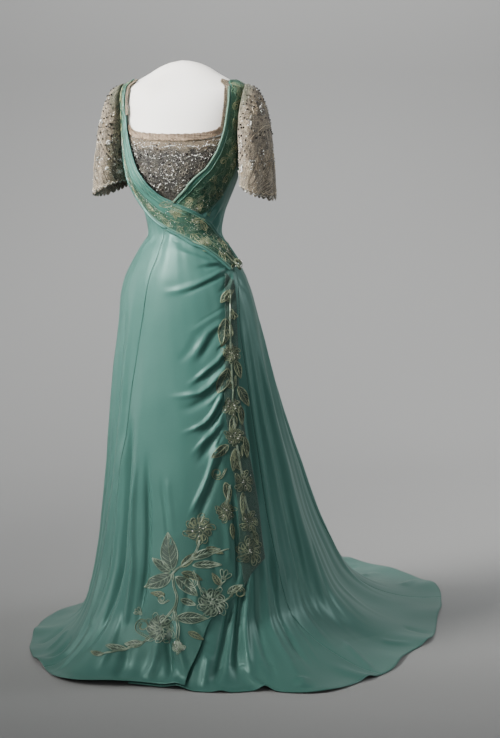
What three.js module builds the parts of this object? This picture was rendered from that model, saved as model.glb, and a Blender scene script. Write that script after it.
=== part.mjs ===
// One-piece evening gown with a train, on a limbless dress form with its pole and base.
// Millimetres, +Z up. The wearer's front faces -Y and the wearer's left is +X.
// The origin is on the floor, in the middle of the stand's base.
import * as THREE from 'three';

// ---- Driving sizes -------------------------------------------------------------------------
const CLOTH_WALL = 1.6;        // satin with its backing
const NET_WALL = 1.2;          // beaded net on its tulle
const SEAM_GAP = 0.3;          // clear space between two pieces at a seam
const FORM_INSET = 7;          // from the line of the gown in to the dress form
const FORM_BOTTOM = 830;       // station where the form is closed below
const SECTION_SQUARENESS = 0.9;  // 1 is an ellipse, less is squarer at the sides
const MIN_HEIGHT = 2.6;        // the satin's upper face where it lies on the floor

const BASE_RADIUS = 150;
const BASE_HEIGHT = 14;
const POLE_RADIUS = 14;

// How far the outer face of each layer lies outside the line of the gown.
const LIFT = { yoke: -3.2, satin: 0, overskirt: 4, edgeBand: 2.6, clasp: 9 };
const WRAP_FULLNESS = 4;       // how much further out the overskirt hangs at its hem

// Seams, in degrees round the section from the centre front (the wearer's left is positive).
const SIDE_FRONT_LEFT = 62;    // seam between the under front and the left side
const SIDE_BACK = 125;         // both sides
const UNDER_FRONT_START = -2;  // edge of the under front, hidden by the overskirt
const CENTRE_BACK = 180;

// ---- Colours -------------------------------------------------------------------------------
const SATIN = 0x6fa89c;
const EMBROIDERED = 0x5f7f70;
const BEADED_NET = 0x97907f;
const TULLE = 0xcfc3b0;
const FORM_WHITE = 0xf4f1ec;
const STAND_GREY = 0x8c8c8c;

// ---- Line of the gown, hem to neck ---------------------------------------------------------
// station: name of the level in mm; front, back: height there at the centre front and back;
// half: half width; deepFront, deepBack: depth before and behind the axis;
// mid: how far behind the axis the section is widest.
const LEVELS = [
  // station front  back  half deepFront deepBack mid
  [0,      MIN_HEIGHT, MIN_HEIGHT, 484, 286, 1118, 300],
  [10,     9,    6,    445,  275,  1060, 290],
  [35,     32,   20,   392,  258,  960,  268],
  [80,     78,   54,   332,  238,  835,  236],
  [149,    149,  120,  286,  214,  705,  196],
  [232,    232,  212,  259,  191,  590,  165],
  [328,    328,  320,  237,  169,  490,  130],
  [455,    455,  455,  216,  147,  388,  98],
  [571,    571,  571,  200,  133,  302,  65],
  [666,    666,  666,  188,  125,  242,  42],
  [739,    739,  739,  178,  120,  202,  28],
  [810,    810,  810,  167,  116,  167,  15],
  [862,    862,  862,  158,  113,  145,  6],
  [905,    905,  905,  145,  109,  131,  0],
  [939,    939,  939,  128,  102,  114,  0],
  [972,    972,  972,  109,  92,   96,   0],
  [1014,   1014, 1014, 87,   77,   77,   0],
  [1055,   1055, 1055, 94,   83,   81,   0],
  [1093,   1093, 1093, 108,  96,   91,   0],
  [1141,   1141, 1141, 127,  121,  98,   0],
  [1175,   1175, 1175, 135,  119,  101,  0],
  [1210,   1210, 1210, 141,  113,  104,  0],
  [1250,   1250, 1250, 147,  106,  105,  0],
  [1290,   1290, 1290, 151,  97,   102,  0],
  [1325,   1325, 1325, 154,  84,   92,   0],
  [1345,   1345, 1345, 152,  72,   80,   0],
  [1362,   1357, 1357, 138,  62,   69,   0],
  [1384,   1368, 1368, 116,  53,   59,   0],
  [1408,   1382, 1382, 90,   42,   47,   0],
  [1430,   1398, 1398, 62,   32,   36,   0],
  [1446,   1408, 1408, 36,   22,   24,   0],
  [1458,   1413, 1413, 12,   10,   11,   0],
];
const STATION = 0;
const FRONT = 1;
const BACK = 2;
const HALF = 3;
const DEEP_FRONT = 4;
const DEEP_BACK = 5;
const MID = 6;

// Large soft folds of the skirt. at: degrees; span: half width in degrees; out: mm at the hem
// (negative is a trough); top: station where the fold has died away.
const FOLDS = [
  // at   span out  top
  [-148,  15,  16,  800],
  [-116,  13,  13,  700],
  [-99,   10,  -9,  700],
  [-80,   12,  11,  760],
  [-58,   12,  -7,  600],
  [-28,   22,  20,  240],
  [12,    10,  7,   420],
  [31,    10,  -8,  420],
  [24,    18,  28,  220],
  [56,    34,  66,  140],
  [-14,   18,  45,  130],
  [41,    14,  45,  130],
  [100,   50,  14,  160],
  [-95,   52,  -24, 160],
  [50,    11,  8,   420],
  [76,    11,  -9,  650],
  [92,    11,  12,  800],
  [109,   11,  -9,  760],
  [133,   14,  16,  820],
  [160,   14,  -12, 700],
  [180,   13,  14,  760],
];

// ---- Small helpers -------------------------------------------------------------------------
const radians = (degrees) => THREE.MathUtils.degToRad(degrees);
const mix = (a, b, t) => a + (b - a) * t;
const clamp01 = (t) => Math.min(1, Math.max(0, t));
const smooth = (t) => clamp01(t) ** 2 * (3 - 2 * clamp01(t));

// Value of one column of a table at x, by a cubic that never overshoots its rows.
function column(table, key, x, by = 0) {
  const last = table.length - 1;
  if (x <= table[0][by]) return table[0][key];
  if (x >= table[last][by]) return table[last][key];
  let i = 0;
  while (table[i + 1][by] < x) i += 1;
  const slope = (k) => (table[k + 1][key] - table[k][key]) / (table[k + 1][by] - table[k][by]);
  const tangent = (k) => {
    if (k === 0) return slope(0);
    if (k === last) return slope(last - 1);
    const before = slope(k - 1);
    const after = slope(k);
    return before * after <= 0 ? 0 : (2 * before * after) / (before + after);
  };
  const span = table[i + 1][by] - table[i][by];
  const t = (x - table[i][by]) / span;
  const t2 = t * t;
  const t3 = t2 * t;
  return table[i][key] * (2 * t3 - 3 * t2 + 1) + tangent(i) * span * (t3 - 2 * t2 + t)
    + table[i + 1][key] * (3 * t2 - 2 * t3) + tangent(i + 1) * span * (t3 - t2);
}

// How far the folds push the line of the gown out, at an angle and a station.
function foldDepth(angle, station) {
  let total = 0;
  for (const [at, span, out, top] of FOLDS) {
    const away = Math.abs(((angle - at + 540) % 360) - 180) / span;
    if (away < 1) total += out * smooth((top - station) / top) * (1 + Math.cos(Math.PI * away)) / 2;
  }
  return total;
}

// A point of the gown's line. angle in degrees from the centre front, station from LEVELS.
function gownLine(angle, station) {
  const sine = Math.sin(radians(angle));
  const cosine = Math.cos(radians(angle));
  const half = column(LEVELS, HALF, station);
  const mid = column(LEVELS, MID, station);
  const before = column(LEVELS, DEEP_FRONT, station) + mid;
  const after = column(LEVELS, DEEP_BACK, station) - mid;
  const reach = cosine > 0 ? before : after;
  const behind = (1 - cosine) / 2;
  const height = mix(column(LEVELS, FRONT, station), column(LEVELS, BACK, station), behind);
  const fold = foldDepth(angle, station);
  const wide = Math.sign(sine) * Math.abs(sine) ** SECTION_SQUARENESS;
  return new THREE.Vector3((half + fold) * wide, mid - (reach + fold) * cosine, height);
}

const STEP = 0.05;
function along(angle, station) {
  return gownLine(angle + STEP, station).sub(gownLine(angle - STEP, station)).multiplyScalar(0.5 / STEP);
}
function upward(angle, station) {
  return gownLine(angle, station + STEP).sub(gownLine(angle, station - STEP)).multiplyScalar(0.5 / STEP);
}
function outward(angle, station) {
  return along(angle, station).cross(upward(angle, station)).normalize();
}

// A point on the gown's line moved out, with its outward direction.
function clothPoint(angle, station, lift) {
  const normal = outward(angle, station);
  return { point: gownLine(angle, station).addScaledVector(normal, lift), normal };
}

// ---- Closed bodies from grids of points ----------------------------------------------------
function signedVolume(points, faces) {
  let total = 0;
  for (const [a, b, c] of faces) total += points[a].dot(points[b].clone().cross(points[c]));
  return total;
}

function body(points, faces) {
  const outside = signedVolume(points, faces) > 0;
  const geometry = new THREE.BufferGeometry();
  geometry.setAttribute('position', new THREE.Float32BufferAttribute(points.flatMap((p) => p.toArray()), 3));
  geometry.setIndex(faces.flatMap(([a, b, c]) => (outside ? [a, b, c] : [a, c, b])));
  geometry.computeVertexNormals();
  return geometry;
}

// A wall of cloth: a grid of {point, normal}, its own points moved in, and a rim all round.
// around: the last column joins the first, as on a tube.
function wall(grid, thickness, around = false) {
  const rows = grid.length;
  const columns = grid[0].length;
  const outer = grid.flat().map((g) => g.point);
  const inner = grid.flat().map((g) => g.point.clone().addScaledVector(g.normal, -thickness));
  const inside = outer.length;
  const at = (i, j) => i * columns + (j % columns);
  const faces = [];
  const quad = (a, b, c, d) => faces.push([a, b, c], [a, c, d]);
  const across = around ? columns : columns - 1;
  for (let i = 0; i + 1 < rows; i += 1) {
    for (let j = 0; j < across; j += 1) {
      quad(at(i, j), at(i, j + 1), at(i + 1, j + 1), at(i + 1, j));
      quad(inside + at(i, j), inside + at(i + 1, j), inside + at(i + 1, j + 1), inside + at(i, j + 1));
    }
  }
  for (let j = 0; j < across; j += 1) {
    quad(at(0, j), inside + at(0, j), inside + at(0, j + 1), at(0, j + 1));
    const top = rows - 1;
    quad(at(top, j), at(top, j + 1), inside + at(top, j + 1), inside + at(top, j));
  }
  if (!around) {
    for (let i = 0; i + 1 < rows; i += 1) {
      const end = columns - 1;
      quad(at(i, 0), at(i + 1, 0), inside + at(i + 1, 0), inside + at(i, 0));
      quad(at(i, end), inside + at(i, end), inside + at(i + 1, end), at(i + 1, end));
    }
  }
  return body([...outer, ...inner], faces);
}

// A solid through closed rings of points, with a middle point at each end.
function solid(rings) {
  const count = rings[0].length;
  const points = rings.flat();
  const middle = (ring) => ring.reduce((sum, p) => sum.add(p), new THREE.Vector3()).divideScalar(count);
  const low = points.push(middle(rings[0])) - 1;
  const high = points.push(middle(rings.at(-1))) - 1;
  const faces = [];
  for (let j = 0; j < count; j += 1) {
    const next = (j + 1) % count;
    for (let i = 0; i + 1 < rings.length; i += 1) {
      const a = i * count;
      faces.push([a + j, a + next, a + count + next], [a + j, a + count + next, a + count + j]);
    }
    const last = (rings.length - 1) * count;
    faces.push([low, next, j], [high, last + j, last + next]);
  }
  return body(points, faces);
}

function ring(count, makePoint) {
  return Array.from({ length: count }, (_, j) => makePoint((360 * j) / count));
}

const gown = new THREE.Group();
gown.name = 'evening_gown_on_form';

function add(name, geometry, color, roughness, metalness = 0) {
  const mesh = new THREE.Mesh(geometry, new THREE.MeshStandardMaterial({ color, roughness, metalness }));
  mesh.name = name;
  gown.add(mesh);
}
const addSatin = (name, geometry) => add(name, geometry, SATIN, 0.38);
const addNet = (name, geometry) => add(name, geometry, BEADED_NET, 0.6);
const addTulle = (name, geometry) => add(name, geometry, TULLE, 0.85);
const addEmbroidered = (name, geometry) => add(name, geometry, EMBROIDERED, 0.7);

// Angle that leaves half a seam's gap on one side of a seam.
function beside(angle, station, side) {
  return angle + side * (SEAM_GAP / 2) / along(angle, station).length();
}

// ---- Flat-cut panels -----------------------------------------------------------------------
// Steps across each panel.
const PANEL_STEPS = { sideRight: 10, sideLeft: 8, back: 6, under: 8, bodice: 5 };

// A panel goes up through stations. start and finish give its two edges as an angle at a station.
function panel(stations, start, finish, steps, lift, thickness) {
  const grid = stations.map((station) => {
    const from = beside(start(station), station, 1);
    const to = beside(finish(station), station, -1);
    return Array.from({ length: steps + 1 }, (_, j) => clothPoint(mix(from, to, j / steps), station, lift));
  });
  return wall(grid, thickness);
}

const WAIST = 1014;
const SKIRT_STATIONS = [
  ...LEVELS.map((level) => level[STATION]).filter((station) => station < 939),
  939, 972, 993, WAIST,
].sort((a, b) => a - b);
const SIDE_TOP = [1034, 1055, 1074, 1093, 1141, 1185];

// Front edge of the right side piece. Up to the top of the overskirt it is their princess seam,
// which leans towards the front as it rises; above that it runs under the band.
const RIGHT_SIDE_EDGE = [
  // station angle
  [0,    -29],
  [450,  -30],
  [550,  -28.5],
  [620,  -27],
  [680,  -25],
  [775,  -21.5],
  [850,  -18.5],
  [925,  -16.5],
  [960,  -13],
  [1055, -12],
  [1074, -28],
  [1093, -46],
  [1141, -58],
  [1185, -64],
];
const LEFT_SIDE_EDGE = [
  [780,  SIDE_FRONT_LEFT],
  [862,  68],
  [905,  76],
  [939,  84],
  [972,  89],
  [WAIST, 92],
  [1185, 94],
];
// Upper edge of each back piece: it leaves the centre back below the V of the back bands.
const BACK_EDGE = [
  [1014, CENTRE_BACK],
  [1055, 175],
  [1093, 164],
  [1141, 154],
  [1185, 146],
];

const rightEdge = (station) => column(RIGHT_SIDE_EDGE, 1, station);
const leftEdge = (station) => column(LEFT_SIDE_EDGE, 1, station);

function skirtSides() {
  const stations = [...SKIRT_STATIONS, ...SIDE_TOP];
  const right = panel(stations, () => -SIDE_BACK, rightEdge, PANEL_STEPS.sideRight, LIFT.satin, CLOTH_WALL);
  const left = panel(stations, leftEdge, () => SIDE_BACK, PANEL_STEPS.sideLeft, LIFT.satin, CLOTH_WALL);
  addSatin('skirt_side_right', right);
  addSatin('skirt_side_left', left);
}

function skirtBacks() {
  const stations = [...SKIRT_STATIONS, ...SIDE_TOP];
  const edge = (station) => column(BACK_EDGE, 1, station);
  const left = panel(stations, () => SIDE_BACK, edge, PANEL_STEPS.back, LIFT.satin, CLOTH_WALL);
  const right = panel(stations, (s) => -edge(s), () => -SIDE_BACK, PANEL_STEPS.back, LIFT.satin, CLOTH_WALL);
  addSatin('skirt_back_left', left);
  addSatin('skirt_back_right', right);
}

const UNDER_FRONT_TOP = 939;
function skirtFrontUnder() {
  const below = SKIRT_STATIONS.filter((station) => station < UNDER_FRONT_TOP);
  const stations = [...below, UNDER_FRONT_TOP - SEAM_GAP];
  const start = () => UNDER_FRONT_START;
  const geometry = panel(stations, start, leftEdge, PANEL_STEPS.under, LIFT.satin, CLOTH_WALL);
  addSatin('skirt_front_under', geometry);
}

// Gathered satin of the bodice between the two bands, on the wearer's left.
function bodiceFrontLeft() {
  const innerEdge = [
    // station angle
    [939,  50],
    [1000, 36],
    [1040, 26],
    [1070, 34],
    [1100, 56],
    [1130, 70],
    [1160, 80],
  ];
  const edge = (station) => column(innerEdge, 1, station);
  const stations = [UNDER_FRONT_TOP, 972, 993, WAIST, 1034, 1055, 1074, 1093, 1141, 1160];
  const geometry = panel(stations, edge, leftEdge, PANEL_STEPS.bodice, LIFT.satin, CLOTH_WALL);
  addSatin('bodice_front_left', geometry);
}

// ---- Bands that run over the shoulders and round the body ----------------------------------
// Each row names a level of the band's middle line and the band's width and lift there.
const RIGHT_BAND = [
  // angle station width lift
  [-89, 1360, 34, 0],
  [-78,  1360, 34, 0],
  [-67,  1342, 36, 1],
  [-64,  1314, 40, 3],
  [-62,  1278, 46, 4],
  [-59,  1229, 56, 5],
  [-51,  1178, 64, 6.5],
  [-38,  1122, 66, 8],
  [-19,  1080, 62, 8],
  [3,    1054, 60, 8],
  [26,   1032, 58, 8],
  [50,   1004, 57, 8],
  [68,   974,  54, 8],
  [80,   938,  44, 8],
];
const LEFT_BAND = [
  [89, 1360, 34, 0],
  [78,   1360, 34, 0],
  [69,   1343, 36, 1],
  [70,   1304, 44, 1],
  [71,   1250, 58, 2],
  [68,   1195, 76, 3.2],
  [57,   1140, 86, 3.2],
  [42,   1102, 80, 3.2],
  [24,   1078, 62, 3.2],
  [10,   1062, 44, 3.2],
];
const BACK_BAND = [
  [90.9, 1360, 34, 0],
  [102,  1360, 34, 0],
  [112,  1342, 36, 1],
  [116,  1312, 40, 2],
  [125,  1250, 42, 3],
  [136,  1180, 44, 4],
  [150,  1110, 44, 4],
  [161,  1055, 40, 4],
  [165,  1012, 28, 4],
];
const TURN = 0;
const LEVEL = 1;
const WIDTH = 2;
const RAISED = 3;

// Smooth run through the rows of a band table: t counts rows.
function bandRow(table, t) {
  const last = table.length - 1;
  const i = Math.min(last - 1, Math.floor(t));
  const f = t - i;
  const value = (k, key) => table[Math.min(last, Math.max(0, k))][key];
  return [TURN, LEVEL, WIDTH, RAISED].map((key) => {
    const [a, b, c, d] = [value(i - 1, key), value(i, key), value(i + 1, key), value(i + 2, key)];
    return b + 0.5 * f * (c - a + f * (2 * a - 5 * b + 4 * c - d + f * (3 * (b - c) + d - a)));
  });
}

// across: how many steps wide. from, to: first and last row used. beyond: width of a strip that
// lies beside the band's edge (negative: the other edge). raise: added to the band's lift.
const STEPS_A_ROW = 2;
function strip(table, across, thickness, options = {}) {
  const last = table.length - 1;
  const { mirrored = false, beyond = 0, raise = 0, from = 0, to = last } = options;
  const grid = [];
  for (let i = from * STEPS_A_ROW; i <= to * STEPS_A_ROW; i += 1) {
    const t = i / STEPS_A_ROW;
    const [angle, station, width, raised] = bandRow(table, t);
    const before = bandRow(table, Math.max(0, t - 0.02));
    const after = bandRow(table, Math.min(last, t + 0.02));
    const travel = gownLine(after[TURN], after[LEVEL]).sub(gownLine(before[TURN], before[LEVEL])).normalize();
    const side = outward(angle, station).cross(travel).normalize();
    const round = along(angle, station);
    const up = upward(angle, station);
    const low = beyond ? Math.sign(beyond) * (width / 2 + SEAM_GAP) : -width / 2;
    const high = beyond ? low + beyond : width / 2;
    const row = [];
    for (let j = 0; j <= across; j += 1) {
      const move = mix(low, high, j / across);
      const turned = angle + (move * side.dot(round)) / round.lengthSq();
      const raisedStation = station + (move * side.dot(up)) / up.lengthSq();
      const g = clothPoint(turned, raisedStation, raised + raise);
      if (mirrored) {
        g.point.x *= -1;
        g.normal.x *= -1;
      }
      row.push(g);
    }
    grid.push(row);
  }
  return wall(grid, thickness);
}

// Steps across each band, and the widths of the narrow strips beside them.
const BAND_STEPS = { right: 4, left: 5, back: 3, narrow: 1 };
const RIGHT_FOLD_WIDTH = 9;
const RIGHT_PIPING_WIDTH = 5;
const LEFT_PIPING_WIDTH = 6;
// Rows of the band tables where those strips come out from under the other cloth.
const RIGHT_FOLD_START = 5;
const RIGHT_PIPING_START = 4;
const LEFT_PIPING_START = 2;

function bands() {
  addEmbroidered('bodice_band_right', strip(RIGHT_BAND, BAND_STEPS.right, CLOTH_WALL));
  addEmbroidered('bodice_band_left', strip(LEFT_BAND, BAND_STEPS.left, CLOTH_WALL));
  addEmbroidered('back_band_left', strip(BACK_BAND, BAND_STEPS.back, CLOTH_WALL));
  addEmbroidered('back_band_right', strip(BACK_BAND, BAND_STEPS.back, CLOTH_WALL, { mirrored: true }));
}

function bandTrims() {
  const narrow = (table, beyond, from) => strip(table, BAND_STEPS.narrow, CLOTH_WALL, { beyond, from });
  addSatin('band_right_fold', narrow(RIGHT_BAND, -RIGHT_FOLD_WIDTH, RIGHT_FOLD_START));
  addSatin('band_right_piping', narrow(RIGHT_BAND, RIGHT_PIPING_WIDTH, RIGHT_PIPING_START));
  addSatin('band_left_piping', narrow(LEFT_BAND, -LEFT_PIPING_WIDTH, LEFT_PIPING_START));
}

// ---- Overskirt: the wrap that crosses the front and fastens at the wearer's left -----------
const WRAP_EDGE = [
  // station angle
  [266,  54],
  [400,  55.5],
  [550,  53],
  [650,  52],
  [750,  56],
  [830,  60],
  [900,  67],
  [940,  77],
];
// Lower edge of the overskirt: along the floor, then slanting up to its corner.
const WRAP_BOTTOM = [
  // angle station
  [11,   0],
  [14,   40],
  [18,   78],
  [24,   140],
  [30,   168],
  [38,   192],
  [47,   243],
  [54,   266],
];
const WRAP_STEPS = 13;
const EDGE_BAND_STEPS = 2;
const EDGE_BAND_TOP_ROWS = 3;    // rows of the overskirt above the end of its embroidered edge
const WRAP_TOP = 1055;           // station of its upper edge at the princess seam
const WRAP_BLEND = 14;           // degrees in which the overskirt comes clear of its seam

// Station of the right band's middle at an angle: the overskirt's upper edge runs below it.
function bandStation(angle) {
  return column(RIGHT_BAND, LEVEL, angle, TURN);
}

// over: how far the grid lies outside the overskirt.
function wrapGrid(over = 0) {
  const seamBottom = rightEdge(0);
  const seamTop = rightEdge(WRAP_TOP);
  return [...SKIRT_STATIONS, 1034, WRAP_TOP].map((seamStation) => {
    const row = [];
    for (let j = 0; j <= WRAP_STEPS; j += 1) {
      const u = j / WRAP_STEPS;
      const bottom = column(WRAP_BOTTOM, 1, mix(seamBottom, WRAP_BOTTOM.at(-1)[0], u));
      const topAngle = mix(seamTop, WRAP_EDGE.at(-1)[1], u);
      const top = WRAP_TOP + bandStation(topAngle) - bandStation(seamTop);
      const station = mix(bottom, top, seamStation / WRAP_TOP);
      const edge = column(WRAP_EDGE, 1, station);
      const seam = rightEdge(station);
      const angle = mix(beside(seam, station, 1), edge, u);
      const free = smooth((angle - seam) / WRAP_BLEND);
      const full = LIFT.overskirt + WRAP_FULLNESS * smooth(1 - station / WAIST);
      row.push(clothPoint(angle, station, mix(LIFT.satin, full + over, free)));
    }
    return row;
  });
}

function overskirt() {
  addSatin('overskirt_front', wall(wrapGrid(), CLOTH_WALL));
  const rows = wrapGrid(LIFT.edgeBand).slice(0, -EDGE_BAND_TOP_ROWS);
  const band = rows.map((row) => row.slice(-1 - EDGE_BAND_STEPS));
  addEmbroidered('overskirt_edge_band', wall(band, CLOTH_WALL));
}

// ---- Beaded yoke and its tulle edges -------------------------------------------------------
// A piece of yoke through rows: station in the middle, rise of its ends, and its two angles.
const YOKE_FRONT_STEPS = 16;
const YOKE_BACK_STEPS = 12;
function yokePiece(rows, steps) {
  const grid = rows.map(([station, rise, from, to]) => Array.from({ length: steps + 1 }, (_, j) => {
    const u = (2 * j) / steps - 1;
    return clothPoint(mix(from, to, j / steps), station + rise * u ** 4, LIFT.yoke);
  }));
  return wall(grid, NET_WALL);
}

function yoke() {
  const front = [
    // station rise from to
    [1072, 0,  -12, 14],
    [1084, 4,  -18, 20],
    [1104, 8,  -28, 32],
    [1130, 12, -38, 44],
    [1155, 15, -46, 53],
    [1185, 18, -52, 60],
    [1207, 21, -56, 64],
    [1228, 24, -60, 66],
  ];
  const back = [
    [1018, 0, 178.5, 181.5],
    [1045, 1,  175, 185],
    [1075, 2,  168, 192],
    [1110, 6,  160, 200],
    [1150, 8,  149, 211],
    [1195, 10, 139, 221],
    [1240, 12, 132, 228],
    [1280, 14, 125, 235],
  ];
  addNet('yoke_front', yokePiece(front, YOKE_FRONT_STEPS));
  addNet('yoke_back', yokePiece(back, YOKE_BACK_STEPS));
}

const STRAP_EDGING_WIDTH = 7;
const STRAP_EDGING_LIFT = -2;    // added to the band's own lift
function tulleEdges() {
  const frontEdge = [
    // angle station width lift
    [-46, 1256, 11, -0.4],
    [-42, 1246, 11, -0.4],
    [-26, 1238, 11, -0.4],
    [2,   1235, 11, -0.4],
    [30,  1238, 11, -0.4],
    [46,  1246, 11, -0.4],
    [50,  1254, 11, -0.4],
  ];
  const backEdge = [
    [128, 1293, 11, -0.4],
    [150, 1285, 11, -0.4],
    [180, 1284, 11, -0.4],
    [210, 1285, 11, -0.4],
    [232, 1293, 11, -0.4],
  ];
  addTulle('yoke_edging_front', strip(frontEdge, BAND_STEPS.narrow, NET_WALL));
  addTulle('yoke_edging_back', strip(backEdge, BAND_STEPS.narrow, NET_WALL));
  const strap = { raise: STRAP_EDGING_LIFT, from: 1, to: 4 };
  const leftStrap = { ...strap, beyond: -STRAP_EDGING_WIDTH };
  const rightStrap = { ...strap, beyond: STRAP_EDGING_WIDTH };
  addTulle('strap_edging_left', strip(LEFT_BAND, BAND_STEPS.narrow, NET_WALL, leftStrap));
  addTulle('strap_edging_right', strip(RIGHT_BAND, BAND_STEPS.narrow, NET_WALL, rightStrap));
}

// ---- Sleeves: short bells of beaded net, open at the cuff and the armhole ------------------
// Each ring is an oval from its under side to its outer side. deep: half its depth, front to back.
const SLEEVE = [
  // underX underZ outerX outerZ deep
  [145, 1188, 160, 1352, 52],
  [144, 1182, 177, 1342, 60],
  [144, 1174, 192, 1313, 65],
  [144, 1165, 202, 1275, 69],
  [144, 1156, 209, 1226, 71],
  [144, 1147, 215, 1166, 72],
  [144, 1134, 219, 1096, 73],
];

const SLEEVE_SIDES = 18;
function sleeve(side) {
  const grid = SLEEVE.map(([underX, underZ, outerX, outerZ, deep]) => {
    const centre = new THREE.Vector3((underX + outerX) / 2, 0, (underZ + outerZ) / 2);
    const long = new THREE.Vector3((outerX - underX) / 2, 0, (outerZ - underZ) / 2);
    return ring(SLEEVE_SIDES, (degrees) => {
      const cosine = Math.cos(radians(degrees));
      const sine = Math.sin(radians(degrees));
      const point = centre.clone().addScaledVector(long, cosine).add(new THREE.Vector3(0, deep * sine, 0));
      const normal = long.clone().multiplyScalar(cosine / long.lengthSq());
      normal.add(new THREE.Vector3(0, sine / deep, 0)).normalize();
      point.x *= side;
      normal.x *= side;
      return { point, normal };
    });
  });
  return wall(grid, NET_WALL, true);
}

// ---- Fastening, form and stand -------------------------------------------------------------
const CLASP_ANGLE = 80;
const CLASP_STATION = 936;
const CLASP_UPRIGHT = 1.3;       // its height is this many times its width
const CLASP_SIDES = 12;
function waistClasp() {
  const { point, normal } = clothPoint(CLASP_ANGLE, CLASP_STATION, LIFT.clasp);
  const across = new THREE.Vector3(0, 0, 1).cross(normal).normalize();
  const up = normal.clone().cross(across);
  const profile = [
    // out radius
    [0, 6],
    [2, 11],
    [6, 12],
    [10, 8],
    [12, 3],
  ];
  const rings = profile.map(([out, radius]) => ring(CLASP_SIDES, (degrees) => point.clone()
    .addScaledVector(normal, out)
    .addScaledVector(across, radius * Math.cos(radians(degrees)))
    .addScaledVector(up, CLASP_UPRIGHT * radius * Math.sin(radians(degrees)))));
  addNet('waist_clasp', solid(rings));
}

const FORM_SIDES = 30;
function form() {
  const levels = LEVELS.map((level) => level[STATION]);
  const stations = [FORM_BOTTOM, ...levels.filter((station) => station > FORM_BOTTOM)];
  const inset = (station) => (angle) => clothPoint(angle, station, -FORM_INSET).point;
  const rings = stations.map((station) => ring(FORM_SIDES, inset(station)));
  add('form_torso', solid(rings), FORM_WHITE, 0.85);
}

const STAND_SIDES = 32;
const BASE_BEVEL = 3;
const POLE_TOP_GAP = 2;
function stand() {
  const circle = (radius, height) => ring(STAND_SIDES, (degrees) => new THREE.Vector3(
    radius * Math.sin(radians(degrees)), -radius * Math.cos(radians(degrees)), height));
  const base = [
    circle(BASE_RADIUS, 0),
    circle(BASE_RADIUS, BASE_HEIGHT - BASE_BEVEL),
    circle(BASE_RADIUS - BASE_BEVEL, BASE_HEIGHT),
  ];
  add('form_base', solid(base), STAND_GREY, 0.45, 0.6);
  const poleTop = FORM_BOTTOM - POLE_TOP_GAP;
  add('form_pole', solid([circle(POLE_RADIUS, BASE_HEIGHT + SEAM_GAP), circle(POLE_RADIUS, poleTop)]),
    STAND_GREY, 0.35, 0.8);
}

skirtSides();
skirtBacks();
skirtFrontUnder();
bodiceFrontLeft();
overskirt();
bands();
bandTrims();
yoke();
tulleEdges();
addNet('sleeve_left', sleeve(1));
addNet('sleeve_right', sleeve(-1));
waistClasp();
form();
stand();

export default gown;
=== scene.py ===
import math

import bpy
import numpy as np
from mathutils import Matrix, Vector


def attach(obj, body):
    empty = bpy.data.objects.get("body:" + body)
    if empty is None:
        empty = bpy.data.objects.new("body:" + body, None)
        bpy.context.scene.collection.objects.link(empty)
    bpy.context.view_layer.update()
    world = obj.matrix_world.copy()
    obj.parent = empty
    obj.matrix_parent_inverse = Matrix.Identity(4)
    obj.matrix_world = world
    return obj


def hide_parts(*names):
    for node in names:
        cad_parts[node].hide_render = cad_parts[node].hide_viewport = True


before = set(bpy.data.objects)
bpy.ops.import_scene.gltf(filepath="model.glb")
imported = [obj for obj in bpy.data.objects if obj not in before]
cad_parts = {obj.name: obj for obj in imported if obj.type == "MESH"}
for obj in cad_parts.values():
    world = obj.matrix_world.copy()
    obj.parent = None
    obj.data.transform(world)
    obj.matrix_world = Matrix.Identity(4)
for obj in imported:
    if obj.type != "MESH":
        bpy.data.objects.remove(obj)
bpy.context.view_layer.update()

MM = 0.001
FINE = 1.0      # share of the full number of steps in a sheet

# ---- Line of the gown ----------------------------------------------------------------------
FLOOR_LINE = 2.6
LEVELS = np.array([
    # station, front, back, half width, depth before, depth behind, middle behind the axis
    [0, FLOOR_LINE, FLOOR_LINE, 484, 286, 1118, 300],
    [10, 9, 6, 445, 275, 1060, 290],
    [35, 32, 20, 392, 258, 960, 268],
    [80, 78, 54, 332, 238, 835, 236],
    [149, 149, 120, 286, 214, 705, 196],
    [232, 232, 212, 259, 191, 590, 165],
    [328, 328, 320, 237, 169, 490, 130],
    [455, 455, 455, 216, 147, 388, 98],
    [571, 571, 571, 200, 133, 302, 65],
    [666, 666, 666, 188, 125, 242, 42],
    [739, 739, 739, 178, 120, 202, 28],
    [810, 810, 810, 167, 116, 167, 15],
    [862, 862, 862, 158, 113, 145, 6],
    [905, 905, 905, 145, 109, 131, 0],
    [939, 939, 939, 128, 102, 114, 0],
    [972, 972, 972, 109, 92, 96, 0],
    [1014, 1014, 1014, 87, 77, 77, 0],
    [1055, 1055, 1055, 94, 83, 81, 0],
    [1093, 1093, 1093, 108, 96, 91, 0],
    [1141, 1141, 1141, 127, 121, 98, 0],
    [1175, 1175, 1175, 135, 119, 101, 0],
    [1210, 1210, 1210, 141, 113, 104, 0],
    [1250, 1250, 1250, 147, 106, 105, 0],
    [1290, 1290, 1290, 151, 97, 102, 0],
    [1325, 1325, 1325, 154, 84, 92, 0],
    [1345, 1345, 1345, 152, 72, 80, 0],
    [1362, 1357, 1357, 138, 62, 69, 0],
    [1384, 1368, 1368, 116, 53, 59, 0],
    [1408, 1382, 1382, 90, 42, 47, 0],
    [1430, 1398, 1398, 62, 32, 36, 0],
    [1446, 1408, 1408, 36, 22, 24, 0],
    [1458, 1413, 1413, 12, 10, 11, 0],
], float)
STATION, FRONT, BACK, HALF, DEEP_FRONT, DEEP_BACK, MIDDLE = range(7)
SECTION_SQUARENESS = 0.9

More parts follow.
